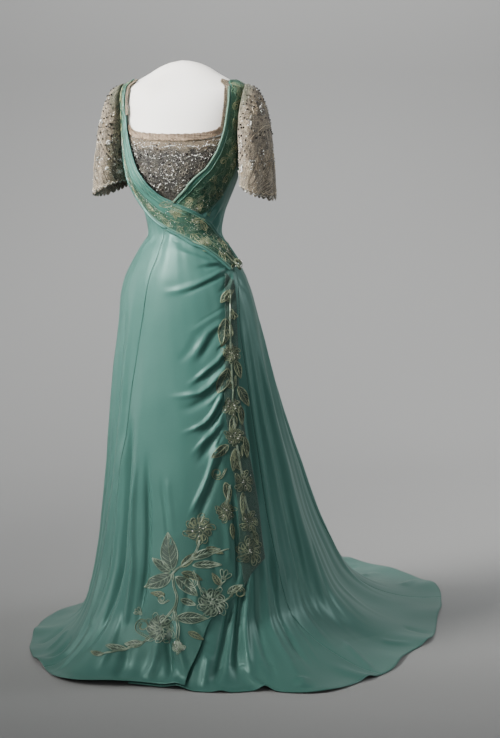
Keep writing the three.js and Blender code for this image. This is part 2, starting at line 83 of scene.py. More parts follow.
# Large soft folds: at, half span in degrees, mm out at the hem, station where it dies away.
FOLDS = [
    (-148, 15, 16, 800), (-116, 13, 13, 700), (-99, 10, -9, 700), (-80, 12, 11, 760),
    (-58, 12, -7, 600), (-28, 22, 20, 240), (12, 10, 7, 420), (31, 10, -8, 420),
    (24, 18, 28, 220), (56, 34, 66, 140), (-14, 18, 45, 130), (41, 14, 45, 130),
    (100, 50, 14, 160), (-95, 52, -24, 160),
    (50, 11, 8, 420), (76, 11, -9, 650), (92, 11, 12, 800), (109, 11, -9, 760),
    (133, 14, 16, 820), (160, 14, -12, 700), (180, 13, 14, 760),
]


def mix(a, b, t):
    return a + (b - a) * t


def smooth(t):
    t = np.clip(t, 0.0, 1.0)
    return t * t * (3 - 2 * t)


def column(table, key, x, by=0):
    """One column of a table at x, by a cubic that never overshoots its rows."""
    rows = np.asarray(table, float)
    known, values = rows[:, by], rows[:, key]
    slope = np.diff(values) / np.diff(known)
    before, after = slope[:-1], slope[1:]
    total = np.where(before + after == 0, 1, before + after)
    tangent = np.concatenate([
        slope[:1],
        np.where(before * after > 0, 2 * before * after / total, 0),
        slope[-1:],
    ])
    x = np.clip(x, known[0], known[-1])
    i = np.clip(np.searchsorted(known, x, "right") - 1, 0, len(known) - 2)
    span = known[i + 1] - known[i]
    t = (x - known[i]) / span
    low = values[i] * (2 * t ** 3 - 3 * t ** 2 + 1) + tangent[i] * span * (t ** 3 - 2 * t ** 2 + t)
    return low + values[i + 1] * (3 * t ** 2 - 2 * t ** 3) + tangent[i + 1] * span * (t ** 3 - t ** 2)


def fold_depth(angle, station):
    total = np.zeros(np.broadcast(angle, station).shape)
    for at, span, out, top in FOLDS:
        away = np.minimum(np.abs((angle - at + 540) % 360 - 180) / span, 1)
        total += out * smooth((top - station) / top) * (1 + np.cos(np.pi * away)) / 2
    return total


def gown_line(angle, station):
    angle, station = np.broadcast_arrays(np.asarray(angle, float), np.asarray(station, float))
    sine, cosine = np.sin(np.radians(angle)), np.cos(np.radians(angle))
    middle = column(LEVELS, MIDDLE, station)
    before = column(LEVELS, DEEP_FRONT, station) + middle
    behind = column(LEVELS, DEEP_BACK, station) - middle
    reach = np.where(cosine > 0, before, behind)
    height = mix(column(LEVELS, FRONT, station), column(LEVELS, BACK, station), (1 - cosine) / 2)
    fold = fold_depth(angle, station)
    wide = np.sign(sine) * np.abs(sine) ** SECTION_SQUARENESS
    half = column(LEVELS, HALF, station)
    return np.stack([(half + fold) * wide, middle - (reach + fold) * cosine, height], -1)


STEP = 0.05        # degrees and mm over which the gown's directions are taken


def along(angle, station):
    return (gown_line(angle + STEP, station) - gown_line(angle - STEP, station)) / (2 * STEP)


def upward(angle, station):
    top = LEVELS[-1, STATION]
    low, high = np.maximum(station - STEP, 0), np.minimum(station + STEP, top)
    return (gown_line(angle, high) - gown_line(angle, low)) / (high - low)[..., None]


def unit(vectors):
    return vectors / np.maximum(np.linalg.norm(vectors, axis=-1, keepdims=True), 1e-12)


def outward(angle, station):
    return unit(np.cross(along(angle, station), upward(angle, station)))


# ---- Creases -------------------------------------------------------------------------------
# Each crease: its line as (angle, station) points, its half width in mm, and how far it stands
# out (negative: a trough).
OVERSKIRT_CREASES = [
    # pleats drawn into the fastening
    ([(68, 937), (50, 938), (36, 937), (24, 935)], 4.5, -4.0),
    ([(68, 941), (48, 945), (30, 946)], 7, 3.0),
    ([(68, 931), (50, 916), (36, 903), (22, 888), (8, 874)], 5, -5.0),
    ([(68, 934), (50, 922), (36, 910), (22, 896), (6, 884), (-6, 878)], 7, 4.5),
    ([(64, 952), (48, 953), (36, 964), (20, 976), (2, 990)], 4.5, -4.0),
    ([(62, 948), (46, 947), (34, 956), (18, 967), (0, 980)], 8, 2.8),
    ([(69, 926), (60, 905), (52, 888), (44, 874)], 6, -3.0),
    ([(70, 922), (62, 898), (57, 878), (54, 860)], 6, 4.0),
    ([(66, 900), (60, 872), (52, 850), (44, 838)], 8, -3.0),
    ([(50, 850), (38, 834), (28, 820), (18, 800)], 2.6, -1.6),
    ([(48, 842), (36, 824), (26, 808), (14, 784)], 9, 1.8),
    # gathers drawn into the embroidered edge, each falling towards the middle
    ([(48, 812), (40, 806), (31, 790), (27, 770), (20, 740), (14, 716)], 8, 3.6),
    ([(46, 800), (38, 790), (32, 764), (26, 738), (20, 712)], 8, -3.4),
    ([(46, 762), (42, 742), (37, 724), (30, 709), (22, 688), (12, 664)], 5.5, 6.2),
    ([(46, 742), (40, 722), (34, 704), (26, 684), (16, 662)], 8, -5.4),
    ([(46, 722), (41, 704), (35, 686), (29, 666), (22, 652), (12, 645), (0, 640)], 5.5, 6.6),
    ([(44, 700), (38, 678), (32, 656), (25, 634), (16, 618), (6, 612)], 9, -5.6),
    ([(40, 662), (37, 642), (33, 618), (29, 598), (25, 584), (17, 568), (8, 556)], 5, 7.0),
    ([(40, 640), (36, 612), (32, 590), (27, 570), (19, 548)], 8, -6.2),
    ([(38, 602), (35, 580), (31, 563), (26, 550), (21, 530), (14, 500)], 6, 5.4),
    ([(37, 580), (33, 556), (29, 538), (24, 510), (18, 480)], 9, -5.6),
    ([(34, 548), (32, 524), (29.5, 500), (26.5, 468), (23, 436), (18, 396), (14, 360)], 6, 7.2),
    ([(34, 520), (32, 488), (29, 452), (25, 412), (21, 370), (17, 330)], 9, -5.8),
    ([(24, 800), (20, 770), (14, 742), (6, 716)], 9, -1.8),
    # small gathers between the large ones
    ([(47, 780), (43, 768), (38, 756)], 2.6, 2.2),
    ([(47, 772), (42, 758), (36, 746)], 2.8, -2.2),
    ([(45, 735), (41, 716), (36, 703)], 2.6, -2.2),
    ([(44, 706), (40, 693), (35, 680), (29, 668)], 2.8, 2.4),
    ([(43, 690), (38, 668), (33, 650)], 2.8, -2.4),
    ([(42, 676), (37, 655), (31, 634), (26, 622)], 2.6, 2.4),
    ([(40, 628), (36, 604), (32, 586)], 2.8, -2.6),
    ([(40, 616), (36, 594), (31, 574), (27, 562)], 2.6, 2.2),
    ([(38, 570), (34, 545), (31, 530)], 2.6, 2.2),
    ([(37, 560), (33, 534), (29, 512)], 2.8, -2.4),
    ([(36, 535), (33, 505), (30, 470), (27, 440)], 3.0, 2.4),
    ([(66, 912), (58, 893), (50, 880), (42, 872)], 2.6, 2.2),
    ([(67, 906), (60, 886), (53, 868), (46, 858)], 2.8, -2.2),
    ([(66, 944), (52, 936), (40, 928), (30, 920)], 2.6, 1.8),
    ([(66, 948), (50, 942), (36, 938)], 2.4, -1.8),
    ([(-2, 1002), (12, 992), (28, 980)], 3.2, -2.2),
    ([(-8, 1008), (6, 1000), (22, 988), (36, 976)], 3.4, 2.0),
    # long upright folds on the wearer's right
    ([(-25, 620), (-23.5, 480), (-22, 390), (-18, 250), (-20, 120), (-20, 30)], 9, -15.0),
    ([(-16, 540), (-15, 400), (-13, 320), (-10, 250), (-9.5, 160), (-9, 70)], 6, 9.5),
    ([(-9, 520), (-6.5, 400), (-4.5, 330), (-3.5, 250), (-4, 170), (-4, 90)], 7.5, -12.5),
    ([(0, 470), (1, 420), (3, 370), (4.5, 320), (5, 270)], 3.5, -2.6),
    ([(3, 460), (4, 420), (6, 370), (8, 320)], 6, 2.0),
    ([(-31, 560), (-30, 480), (-30, 400), (-26, 250), (-28, 100), (-28, 14)], 10, 5.5),
    ([(-13, 150), (-12, 80), (-11, 20)], 10, 5.0),
    # hem of the wrap below the spray
    ([(4, 112), (3.5, 70), (2, 30), (1, 0)], 11, 9.0),
    ([(6.5, 150), (7.5, 100), (8, 50), (8, 0)], 7, -11.0),
    ([(10, 150), (11.5, 96), (12.5, 50), (13, 18)], 8, 8.5),
    ([(-6, 90), (-5, 40), (-5, 0)], 12, -7.0),
    ([(16, 150), (20, 120), (24, 96)], 8, -4.0),
    # folds inside the embroidered part
    ([(39.5, 440), (40.5, 360), (40.5, 290), (39, 236), (36, 200)], 5.5, -8.0),
    ([(44, 420), (45, 340), (46, 280)], 9, 4.0),
    ([(35, 400), (36, 320), (35, 250)], 8, 4.0),
    ([(24, 330), (27, 270), (29, 220)], 8, -3.6),
    ([(18, 260), (19, 210), (18, 160)], 6, 3.6),
    ([(15, 250), (15, 200), (13, 150)], 6, -3.4),
    ([(52, 700), (50, 600), (50, 480)], 7, 1.8),
]
SIDE_RIGHT_CREASES = [
    ([(-33, 930), (-35, 760), (-36, 560), (-37, 380), (-38, 220), (-35, 100), (-30, 20)], 11, 5.5),
    ([(-43, 880), (-46, 700), (-47, 480), (-48, 300), (-46, 150), (-40, 40)], 12, -7.0),
    ([(-56, 860), (-58, 640), (-60, 400), (-60, 220), (-56, 90), (-50, 10)], 10, 6.5),
    ([(-70, 880), (-71, 660), (-72, 430), (-71, 250), (-66, 110), (-60, 20)], 12, -8.0),
    ([(-84, 870), (-84, 620), (-83, 400), (-80, 200), (-76, 80), (-72, 10)], 9, 7.5),
    ([(-95, 860), (-94, 640), (-92, 400), (-90, 220), (-86, 100)], 12, -7.0),
    ([(-106, 880), (-105, 650), (-103, 420), (-101, 240), (-98, 90), (-96, 8)], 10, 7.5),
    ([(-117, 860), (-115, 600), (-113, 360), (-111, 180), (-108, 60)], 12, -7.0),
    ([(-33, 130), (-31, 60), (-30, 0)], 10, -8.0),
    ([(-26, 120), (-25, 50), (-24, 0)], 8, 7.0),
    ([(-40, 70), (-36, 30), (-34, 0)], 11, -8.0),
    ([(-30, 1010), (-40, 990), (-52, 978)], 6, 1.8),
    ([(-62, 1012), (-72, 1000), (-84, 996)], 7, -1.8),
    ([(-80, 1020), (-95, 1006), (-112, 1002)], 6, 1.8),
    ([(-52, 62), (-46, 34), (-42, 12)], 9, 5.0),
    ([(-64, 40), (-56, 16), (-52, 4)], 12, -5.0),
]
SIDE_LEFT_CREASES = [
    ([(67, 840), (64.5, 700), (64, 520), (64, 380), (62, 240), (54, 120), (46, 40)], 9, 3.6),
    ([(71, 860), (69.5, 700), (69, 500), (69, 340), (67, 210), (60, 100), (54, 30)], 10, -4.6),
    ([(75, 700), (74.5, 560), (75, 430), (75, 300), (73, 200), (67, 90), (62, 20)], 8, 3.2),
    ([(81, 850), (81, 660), (82, 460), (82, 300), (80, 180), (75, 80)], 12, -4.0),
    ([(88, 800), (88, 640), (89, 500), (89, 330), (87, 190), (82, 90), (76, 20)], 12, 3.8),
    ([(98, 860), (97, 640), (98, 430), (98, 260), (95, 130), (90, 40)], 14, -5.0),
    ([(107, 880), (107, 660), (108, 440), (107, 260), (104, 120), (100, 20)], 12, 5.0),
    ([(117, 860), (117, 620), (117, 400), (115, 220), (112, 90)], 13, -5.0),
    ([(86, 420), (84, 280), (80, 150), (74, 60)], 5, 2.2),
    ([(78, 380), (77, 240), (72, 120), (66, 40)], 5, -2.2),
    ([(69, 300), (65, 180), (58, 80), (51, 20)], 5, 2.4),
    ([(93, 300), (90, 170), (85, 70)], 6, -2.6),
    ([(92, 1010), (98, 980), (104, 950)], 6, -2.0),
    ([(76, 905), (84, 886), (94, 872)], 5, -1.8),
    ([(84, 30), (86, 14), (88, 2)], 11, 4.0),
    ([(72, 60), (66, 24), (62, 2)], 9, 5.0),
    ([(98, 26), (97, 10), (96, 0)], 12, -4.0),
    ([(60, 56), (72, 52), (84, 40), (96, 30)], 2, -0.9),
]
UNDER_FRONT_CREASES = [
    ([(47, 290), (44, 220), (39, 130), (34, 60), (30, 6)], 8, 11.0),
    ([(43, 240), (37, 140), (31, 70), (26, 6)], 8, -11.0),
    ([(39, 200), (34, 136), (27.5, 65), (22, 4)], 8, 6.0),
    ([(37, 190), (30, 112), (23, 46), (18, 3)], 9, -13.0),
    ([(22, 80), (19, 40), (16, 2)], 8, 7.0),
    ([(51, 320), (48, 220), (44, 120), (39, 50), (35, 4)], 8, -8.0),
    ([(56, 340), (53, 230), (50, 140), (46, 60), (41, 4)], 9, 5.0),
    ([(60, 300), (57, 180), (53, 90), (48, 24)], 8, -7.0),
    ([(58, 640), (58, 480), (57, 360)], 6, -5.0),
    ([(44, 30), (42, 16), (40, 6)], 14, 8.0),
    ([(18, 46), (26, 50), (36, 54), (46, 56), (60, 56)], 2, -0.9),
]
BACK_CREASES = [
    ([(129, 900), (129, 700), (128, 480), (127, 300), (124, 140), (120, 20)], 10, 7.0),
    ([(137, 870), (137, 660), (137, 440), (136, 260), (134, 120), (131, 30)], 11, -8.0),
    ([(145, 910), (145, 700), (146, 470), (146, 270), (145, 110), (143, 12)], 10, 8.0),
    ([(153, 880), (154, 640), (155, 400), (155, 220), (154, 90)], 11, -8.0),
    ([(162, 930), (163, 720), (164, 500), (165, 300), (165, 150), (164, 20)], 9, 7.5),
    ([(171, 900), (172, 690), (173, 470), (173, 270), (173, 110)], 10, -8.5),
    ([(180, 940), (180, 740), (180, 500), (180, 300), (180, 120), (180, 8)], 9, 8.5),
    ([(150, 60), (153, 34), (157, 16)], 12, 5.0),
    ([(164, 46), (168, 26), (170, 8)], 14, -5.0),
    ([(136, 30), (139, 14), (143, 2)], 12, 5.0),
    ([(174, 22), (177, 10), (176, 2)], 13, 5.0),
    ([(140, 70), (150, 58), (158, 56)], 11, -4.0),
    ([(158, 1010), (150, 985), (138, 968)], 6, 1.8),
    ([(170, 1008), (166, 985), (160, 960)], 6, -1.8),
]
BODICE_LEFT_CREASES = [
    ([(34, 1026), (44, 1044), (54, 1066), (62, 1090)], 5, 3.6),
    ([(36, 1016), (48, 1038), (60, 1062), (70, 1086)], 4.5, -4.0),
    ([(42, 1010), (56, 1036), (68, 1060), (78, 1086)], 5, 3.6),
    ([(50, 1002), (62, 1024), (74, 1048), (84, 1076)], 4.5, -4.0),
    ([(58, 992), (70, 1012), (80, 1036), (88, 1062)], 5, 3.2),
    ([(66, 980), (76, 996), (85, 1016)], 4.5, -3.4),
    ([(30, 1040), (40, 1062), (48, 1086)], 4.5, -3.4),
]
# The hem lifts off the floor here: at, half span in degrees, mm.
HEM_LIFTS = [
    (31, 1.6, 13), (9, 2.6, 9), (-6, 9.0, 7), (20, 1.6, 5), (-34, 4.5, 13), (-45, 5.0, 4), (57, 2.0, 9),
    (44, 5.0, 4), (73, 5.0, 5), (91, 3.0, 7), (112, 5.0, 6), (-66, 4.0, 8), (-88, 5.0, 5),
    (-110, 4.0, 9), (-132, 5.0, 5), (136, 4.0, 8), (-154, 4.0, 7), (158, 5.0, 5), (176, 3.0, 7),
]
HEM_LIFT_TOP = 42        # station where a lift has died away


def crease_depth(points, routes):
    """How far the creases push these points in or out, from each point's distance to them."""
    flat = points.reshape(-1, 3)
    total = np.zeros(len(flat))
    for route, half_width, out in routes:
        reach = 3 * half_width
        near = ((flat > route.min(0) - reach) & (flat < route.max(0) + reach)).all(1)
        if not near.any():
            continue
        spot = flat[near]
        best = np.full(len(spot), np.inf)
        where = np.zeros(len(spot))
        for k in range(len(route) - 1):
            run = route[k + 1] - route[k]
            t = np.clip((spot - route[k]) @ run / max(run @ run, 1e-9), 0, 1)
            away = ((spot - route[k] - t[:, None] * run) ** 2).sum(1)
            closer = away < best
            best = np.where(closer, away, best)
            where = np.where(closer, (k + t) / (len(route) - 1), where)
        fade = smooth(where / 0.22) * smooth((1 - where) / 0.34)
        total[near] += out * fade * np.exp(-best / half_width ** 2)
    return total.reshape(points.shape[:-1])


def ripple(angle, station):
    """Slight unevenness of hanging satin, in mm."""
    slow = np.sin(angle / 6.1 + station / 71) * np.sin(station / 47 - angle / 9.7)
    quick = np.sin(angle / 2.7 - station / 39) * np.sin(station / 23 + angle / 4.3)
    return 0.55 * slow + 0.3 * quick


def hem_lift(angle, station):
    total = np.zeros(np.broadcast(angle, station).shape)
    for at, span, height in HEM_LIFTS:
        away = ((angle - at + 540) % 360 - 180) / span
        total += height * np.exp(-away ** 2)
    return total * smooth((HEM_LIFT_TOP - station) / HEM_LIFT_TOP)


# ---- Layers of the gown --------------------------------------------------------------------
SIDE_FRONT_LEFT = 62
SIDE_BACK = 125
CENTRE_BACK = 180
WAIST = 1014
BODICE_TOP = 1185
UNDER_FRONT_START = -2
UNDER_FRONT_TOP = 939
SEAM_GAP = 0.3
SEAM_SINK = 0.55           # how far a seam's edge turns in

# Edges as (station, angle). The first is the princess seam up to 1055, then runs under the band.
RIGHT_SIDE_EDGE = [
    (0, -29), (450, -30), (550, -28.5), (620, -27), (680, -25), (775, -21.5), (850, -18.5),
    (925, -16.5), (960, -13), (1055, -12), (1074, -28), (1093, -46), (1141, -58), (1185, -64),
]
LEFT_SIDE_EDGE = [
    (780, SIDE_FRONT_LEFT), (862, 68), (905, 76), (939, 84), (972, 89), (WAIST, 92), (BODICE_TOP, 94),
]
BACK_EDGE = [(1014, CENTRE_BACK), (1055, 175), (1093, 164), (1141, 154), (1185, 146)]
BODICE_LEFT_EDGE = [(939, 50), (1000, 36), (1040, 26), (1070, 34), (1100, 56), (1130, 70), (1160, 80)]

WRAP_EDGE = [(266, 54), (400, 55.5), (550, 53), (650, 52), (750, 56), (830, 60), (900, 67), (940, 77)]
# Its lower edge as (angle, station).
WRAP_BOTTOM = [(11, 0), (14, 40), (18, 78), (24, 140), (30, 168), (38, 192), (47, 243), (54, 266)]
WRAP_TOP = 1055
EDGE_BAND_TOP = 993
WRAP_LIFT = 4
WRAP_FULLNESS = 4
WRAP_SEAM_BLEND = 14       # degrees in which the wrap comes free of its seam
EDGE_BAND_LIFT = 2.6
TUCKED_UNDER = 11          # how far the under front keeps behind the wrap
STRIP_START = 11 / 13      # share of the wrap's width where the embroidered strip begins
STRIP_RISE = 10.6 / 13     # and where the embroidery starts to rise onto it

# Bands: angle, station, width, lift.
RIGHT_BAND = [
    (-89, 1360, 34, 0), (-78, 1360, 34, 0), (-67, 1342, 36, 1), (-64, 1314, 40, 3),
    (-62, 1278, 46, 4), (-59, 1229, 56, 5), (-51, 1178, 64, 6.5), (-38, 1122, 66, 8),
    (-19, 1080, 62, 8), (3, 1054, 60, 8), (26, 1032, 58, 8), (50, 1004, 57, 8),
    (68, 974, 54, 8), (80, 938, 44, 8),
]
LEFT_BAND = [
    (89, 1360, 34, 0), (78, 1360, 34, 0), (69, 1343, 36, 1), (70, 1304, 44, 1),
    (71, 1250, 58, 2), (68, 1195, 76, 3.2), (57, 1140, 86, 3.2), (42, 1102, 80, 3.2),
    (24, 1078, 62, 3.2), (10, 1062, 44, 3.2),
]
BACK_BAND = [
    (90.9, 1360, 34, 0), (102, 1360, 34, 0), (112, 1342, 36, 1), (116, 1312, 40, 2),
    (125, 1250, 42, 3), (136, 1180, 44, 4), (150, 1110, 44, 4), (161, 1055, 40, 4),
    (165, 1012, 28, 4),
]
FRONT_EDGING = [
    (-46, 1256, 11, -0.4), (-42, 1246, 11, -0.4), (-26, 1238, 11, -0.4), (2, 1235, 11, -0.4),
    (30, 1238, 11, -0.4), (46, 1246, 11, -0.4), (50, 1254, 11, -0.4),
]
BACK_EDGING = [
    (128, 1293, 11, -0.4), (150, 1285, 11, -0.4), (180, 1284, 11, -0.4), (210, 1285, 11, -0.4),
    (232, 1293, 11, -0.4),
]
# Yoke rows: station in the middle, rise of its ends, and its two angles.
YOKE_FRONT = [
    (1072, 0, -12, 14), (1084, 4, -18, 20), (1104, 8, -28, 32), (1130, 12, -38, 44),
    (1155, 15, -46, 53), (1185, 18, -52, 60), (1207, 21, -56, 64), (1228, 24, -60, 66),
]
YOKE_BACK = [
    (1018, 0, 178.5, 181.5), (1045, 1, 175, 185), (1075, 2, 168, 192), (1110, 6, 160, 200),
    (1150, 8, 149, 211), (1195, 10, 139, 221), (1240, 12, 132, 228), (1280, 14, 125, 235),
]
YOKE_LIFT = -3.2
# Sleeve rings: x and z of the under side, x and z of the outer side, half depth.
SLEEVE = [
    (145, 1188, 160, 1352, 52), (144, 1182, 177, 1342, 60), (144, 1174, 192, 1313, 65),
    (144, 1165, 202, 1275, 69), (144, 1156, 209, 1226, 71), (144, 1147, 215, 1166, 72),
    (144, 1134, 219, 1096, 73),
]
CLOTH_WALL = 1.3
NET_WALL = 0.9
CUFF_SCALLOPS = 25
BAND_STEP = 0.02           # share of a row over which a band's direction is taken
LEAF_BEND = 0.12           # how far a leaf's tip leans, as a share of its length
FINE_THREAD = 0.7          # a thread under this radius has three sides
BEAD_SEED = 11
CLASP_ANGLE, CLASP_STATION, CLASP_LIFT = 80, 936, 9
FORM_INSET = 7
FORM_BOTTOM = 830


def front_seam(station):
    return column(RIGHT_SIDE_EDGE, 1, station)


def wrap_edge(station):
    return column(WRAP_EDGE, 1, station)


def wrap_lift(angle, station):
    free = smooth((angle - front_seam(station)) / WRAP_SEAM_BLEND)
    return free * (WRAP_LIFT + WRAP_FULLNESS * smooth(1 - station / WAIST))


def covered_by_wrap(angle, station):
    sideways = smooth((wrap_edge(station) - angle) / 5)
    upwards = smooth((station - column(WRAP_BOTTOM, 1, angle)) / 14)
    return sideways * np.where(angle > WRAP_EDGE[0][1], smooth((station - 250) / 14), upwards)


class Layer:
    """A layer of cloth over the body: how far out it lies, and the creases in it."""

    def __init__(self, lift, creases, raised=0.0):
        self.lift = lift
        self.raised = raised
        self.routes = []
        for path, half_width, out in creases:
            row = np.array(path, float)
            knots = np.arange(len(row))
            steps = np.linspace(0, len(row) - 1, 4 * len(row))
            angle, station = (np.interp(steps, knots, row[:, key]) for key in (0, 1))
            self.routes.append((self.bare(angle, station)[0], half_width, out))

    def bare(self, angle, station):
        normals = outward(angle, station)
        return gown_line(angle, station) + self.lift(angle, station)[..., None] * normals, normals

    def at(self, angle, station, extra=0.0):
        """Points in mm and their outward directions; extra moves them further out."""
        angle, station = np.broadcast_arrays(np.asarray(angle, float), np.asarray(station, float))
        points, normals = self.bare(angle, station)
        depth = crease_depth(points, self.routes) + ripple(angle, station)
        points = points + (depth + self.raised + extra)[..., None] * normals
        points[..., 2] += hem_lift(angle, station)
        points[..., 2] = np.maximum(points[..., 2], FLOOR_LINE - 0.6 + self.raised)
        return points, normals


def flat_lift(angle, station):
    return np.zeros(np.broadcast(angle, station).shape)


def under_lift(angle, station):
    return -TUCKED_UNDER * covered_by_wrap(angle, station) * smooth(station / 30)


def mirrored(creases):
    return [([(-angle, station) for angle, station in path], width, out) for path, width, out in creases]


RIGHT_BACK_CREASES = mirrored(BACK_CREASES)
OVERSKIRT = Layer(wrap_lift, OVERSKIRT_CREASES + SIDE_RIGHT_CREASES)
EDGE_BAND = Layer(wrap_lift, OVERSKIRT_CREASES, raised=EDGE_BAND_LIFT)
SIDE_RIGHT = Layer(flat_lift, SIDE_RIGHT_CREASES + OVERSKIRT_CREASES + RIGHT_BACK_CREASES)
SIDE_LEFT = Layer(flat_lift, SIDE_LEFT_CREASES + UNDER_FRONT_CREASES + BACK_CREASES)
UNDER_FRONT = Layer(under_lift, UNDER_FRONT_CREASES + SIDE_LEFT_CREASES)
BACK_LEFT = Layer(flat_lift, BACK_CREASES + SIDE_LEFT_CREASES + RIGHT_BACK_CREASES)
BACK_RIGHT = Layer(flat_lift, RIGHT_BACK_CREASES + SIDE_RIGHT_CREASES + BACK_CREASES)
BODICE_LEFT = Layer(flat_lift, BODICE_LEFT_CREASES)
PLAIN = Layer(flat_lift, [])

# ---- Meshes --------------------------------------------------------------------------------
bpy.ops.object.select_all(action="DESELECT")


def new_object(name, verts, faces, material):
    mesh = bpy.data.meshes.new(name)
    mesh.from_pydata(verts.reshape(-1, 3).tolist(), [], faces)
    mesh.shade_smooth()
    mesh.materials.append(material)
    made = bpy.data.objects.new(name, mesh)
    bpy.context.scene.collection.objects.link(made)
    return made


def grid_faces(rows, columns, around=False):
    across = columns if around else columns - 1
    i, j = np.meshgrid(np.arange(rows - 1), np.arange(across), indexing="ij")
    after = (j + 1) % columns
    quads = [i * columns + j, i * columns + after, (i + 1) * columns + after, (i + 1) * columns + j]
    return np.stack(quads, -1).reshape(-1, 4)


def cloth_map(points):
    """Distances in metres along the rows and the columns of a grid, as a cutter lays it flat."""
    across = np.zeros(points.shape[:2])
    across[:, 1:] = np.cumsum(np.linalg.norm(np.diff(points, axis=1), axis=2), 1)
    across -= across[:, across.shape[1] // 2][:, None]
    down = np.zeros(points.shape[:2])
    down[1:] = np.cumsum(np.linalg.norm(np.diff(points, axis=0), axis=2), 0)
    return np.stack([across, down], -1) * MM


def sheet(name, points, normals, material, wall, lining=None, around=False, masks=None):
    """A thin shell of cloth over a grid of points in mm, its outer face on the points."""
    faces = grid_faces(*points.shape[:2], around)
    middle = faces[len(faces) // 2]
    corner = points.reshape(-1, 3)[middle]
    facing = np.cross(corner[1] - corner[0], corner[3] - corner[0])
    if facing @ normals.reshape(-1, 3)[middle[0]] < 0:
        faces = faces[:, ::-1]
    made = new_object(name, points * MM, faces.tolist(), material)
    corners = np.empty(len(made.data.loops), np.int32)
    made.data.loops.foreach_get("vertex_index", corners)
    flat = cloth_map(points).reshape(-1, 2)
    made.data.uv_layers.new(name="Cloth").data.foreach_set("uv", flat[corners].ravel())
    for mask, values in (masks or {}).items():
        attribute = made.data.attributes.new(mask, "FLOAT", "POINT")
        attribute.data.foreach_set("value", np.asarray(values, float).ravel())
    shell = made.modifiers.new("wall", "SOLIDIFY")
    shell.thickness = wall * MM
    shell.offset = -1
    shell.use_even_offset = False
    if lining:
        made.data.materials.append(lining)
        shell.material_offset = 1
    return made


def finish_piece(made, cad_node):
    """Hang a piece on the form's body, in place of its plain solid if it has one."""
    if cad_node:
        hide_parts(cad_node)
    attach(made, "root")
    return made


class Threads:
    """Many round threads, cords or narrow fills joined into one mesh."""

    def __init__(self):
        self.verts, self.faces, self.count = [], [], 0

    def add(self, verts, faces):
        self.verts.append(verts.reshape(-1, 3))
        self.faces.append(faces + self.count)
        self.count += len(self.verts[-1])

    def thread(self, path, normals, radius, sides, closed=False, flat=0.75):
        """A thread along a path in mm, a little flattened against the cloth."""
        travel = np.roll(path, -1, 0) - np.roll(path, 1, 0)
        if not closed:
            travel[0], travel[-1] = path[1] - path[0], path[-1] - path[-2]
        travel = unit(travel)
        side = unit(np.cross(normals, travel))
        out = unit(np.cross(travel, side))
        turn = 2 * np.pi * np.arange(sides)[None, :, None] / sides
        ring = np.cos(turn) * side[:, None] + flat * np.sin(turn) * out[:, None]
        verts = (path[:, None] + radius * ring).reshape(-1, 3)
        n = len(path)
        i, j = np.meshgrid(np.arange(n if closed else n - 1), np.arange(sides), indexing="ij")
        next_i, next_j = (i + 1) % n, (j + 1) % sides
        quads = [i * sides + j, i * sides + next_j, next_i * sides + next_j, next_i * sides + j]
        faces = [np.stack(quads, -1).reshape(-1, 4)]
        if not closed:
            verts = np.concatenate([verts, path[:1], path[-1:]])
            k = np.arange(sides)
            last, start, end = (n - 1) * sides, n * sides + 0 * k, n * sides + 1 + 0 * k
            faces.append(np.stack([start, (k + 1) % sides, k, k], -1))
            faces.append(np.stack([end, last + k, last + (k + 1) % sides, last + k], -1))
        self.add(verts, np.concatenate(faces))

    def build(self, name, material, slot="embroidered_net", cad_node=None):
        faces = [list(dict.fromkeys(face)) for face in np.concatenate(self.faces).tolist()]
        made = new_object(name, np.concatenate(self.verts) * MM, faces, material)
        return finish_piece(made, cad_node)


def model_bead():
    """One round bead, twenty faces, that all the others are copies of: its points and faces."""
    bpy.ops.mesh.primitive_ico_sphere_add(subdivisions=1, radius=1)
    made = bpy.context.object
    mesh = made.data
    verts = unit(np.array([tuple(vertex.co) for vertex in mesh.vertices]))
    faces = np.array([tuple(polygon.vertices) for polygon in mesh.polygons])
    bpy.data.objects.remove(made)
    bpy.data.meshes.remove(mesh)
    return verts, faces


BEAD_VERTS, BEAD_FACES = model_bead()


def beads(name, spots, radii, material):
    """Small beads at these spots, joined into one mesh."""
    points, radii = np.concatenate(spots), np.concatenate(radii)
    verts = (points[:, None] + radii[:, None, None] * BEAD_VERTS) * MM
    faces = BEAD_FACES[None] + (np.arange(len(points)) * len(BEAD_VERTS))[:, None, None]
    made = new_object(name, verts, faces.reshape(-1, 3).tolist(), material)
    return finish_piece(made, None)


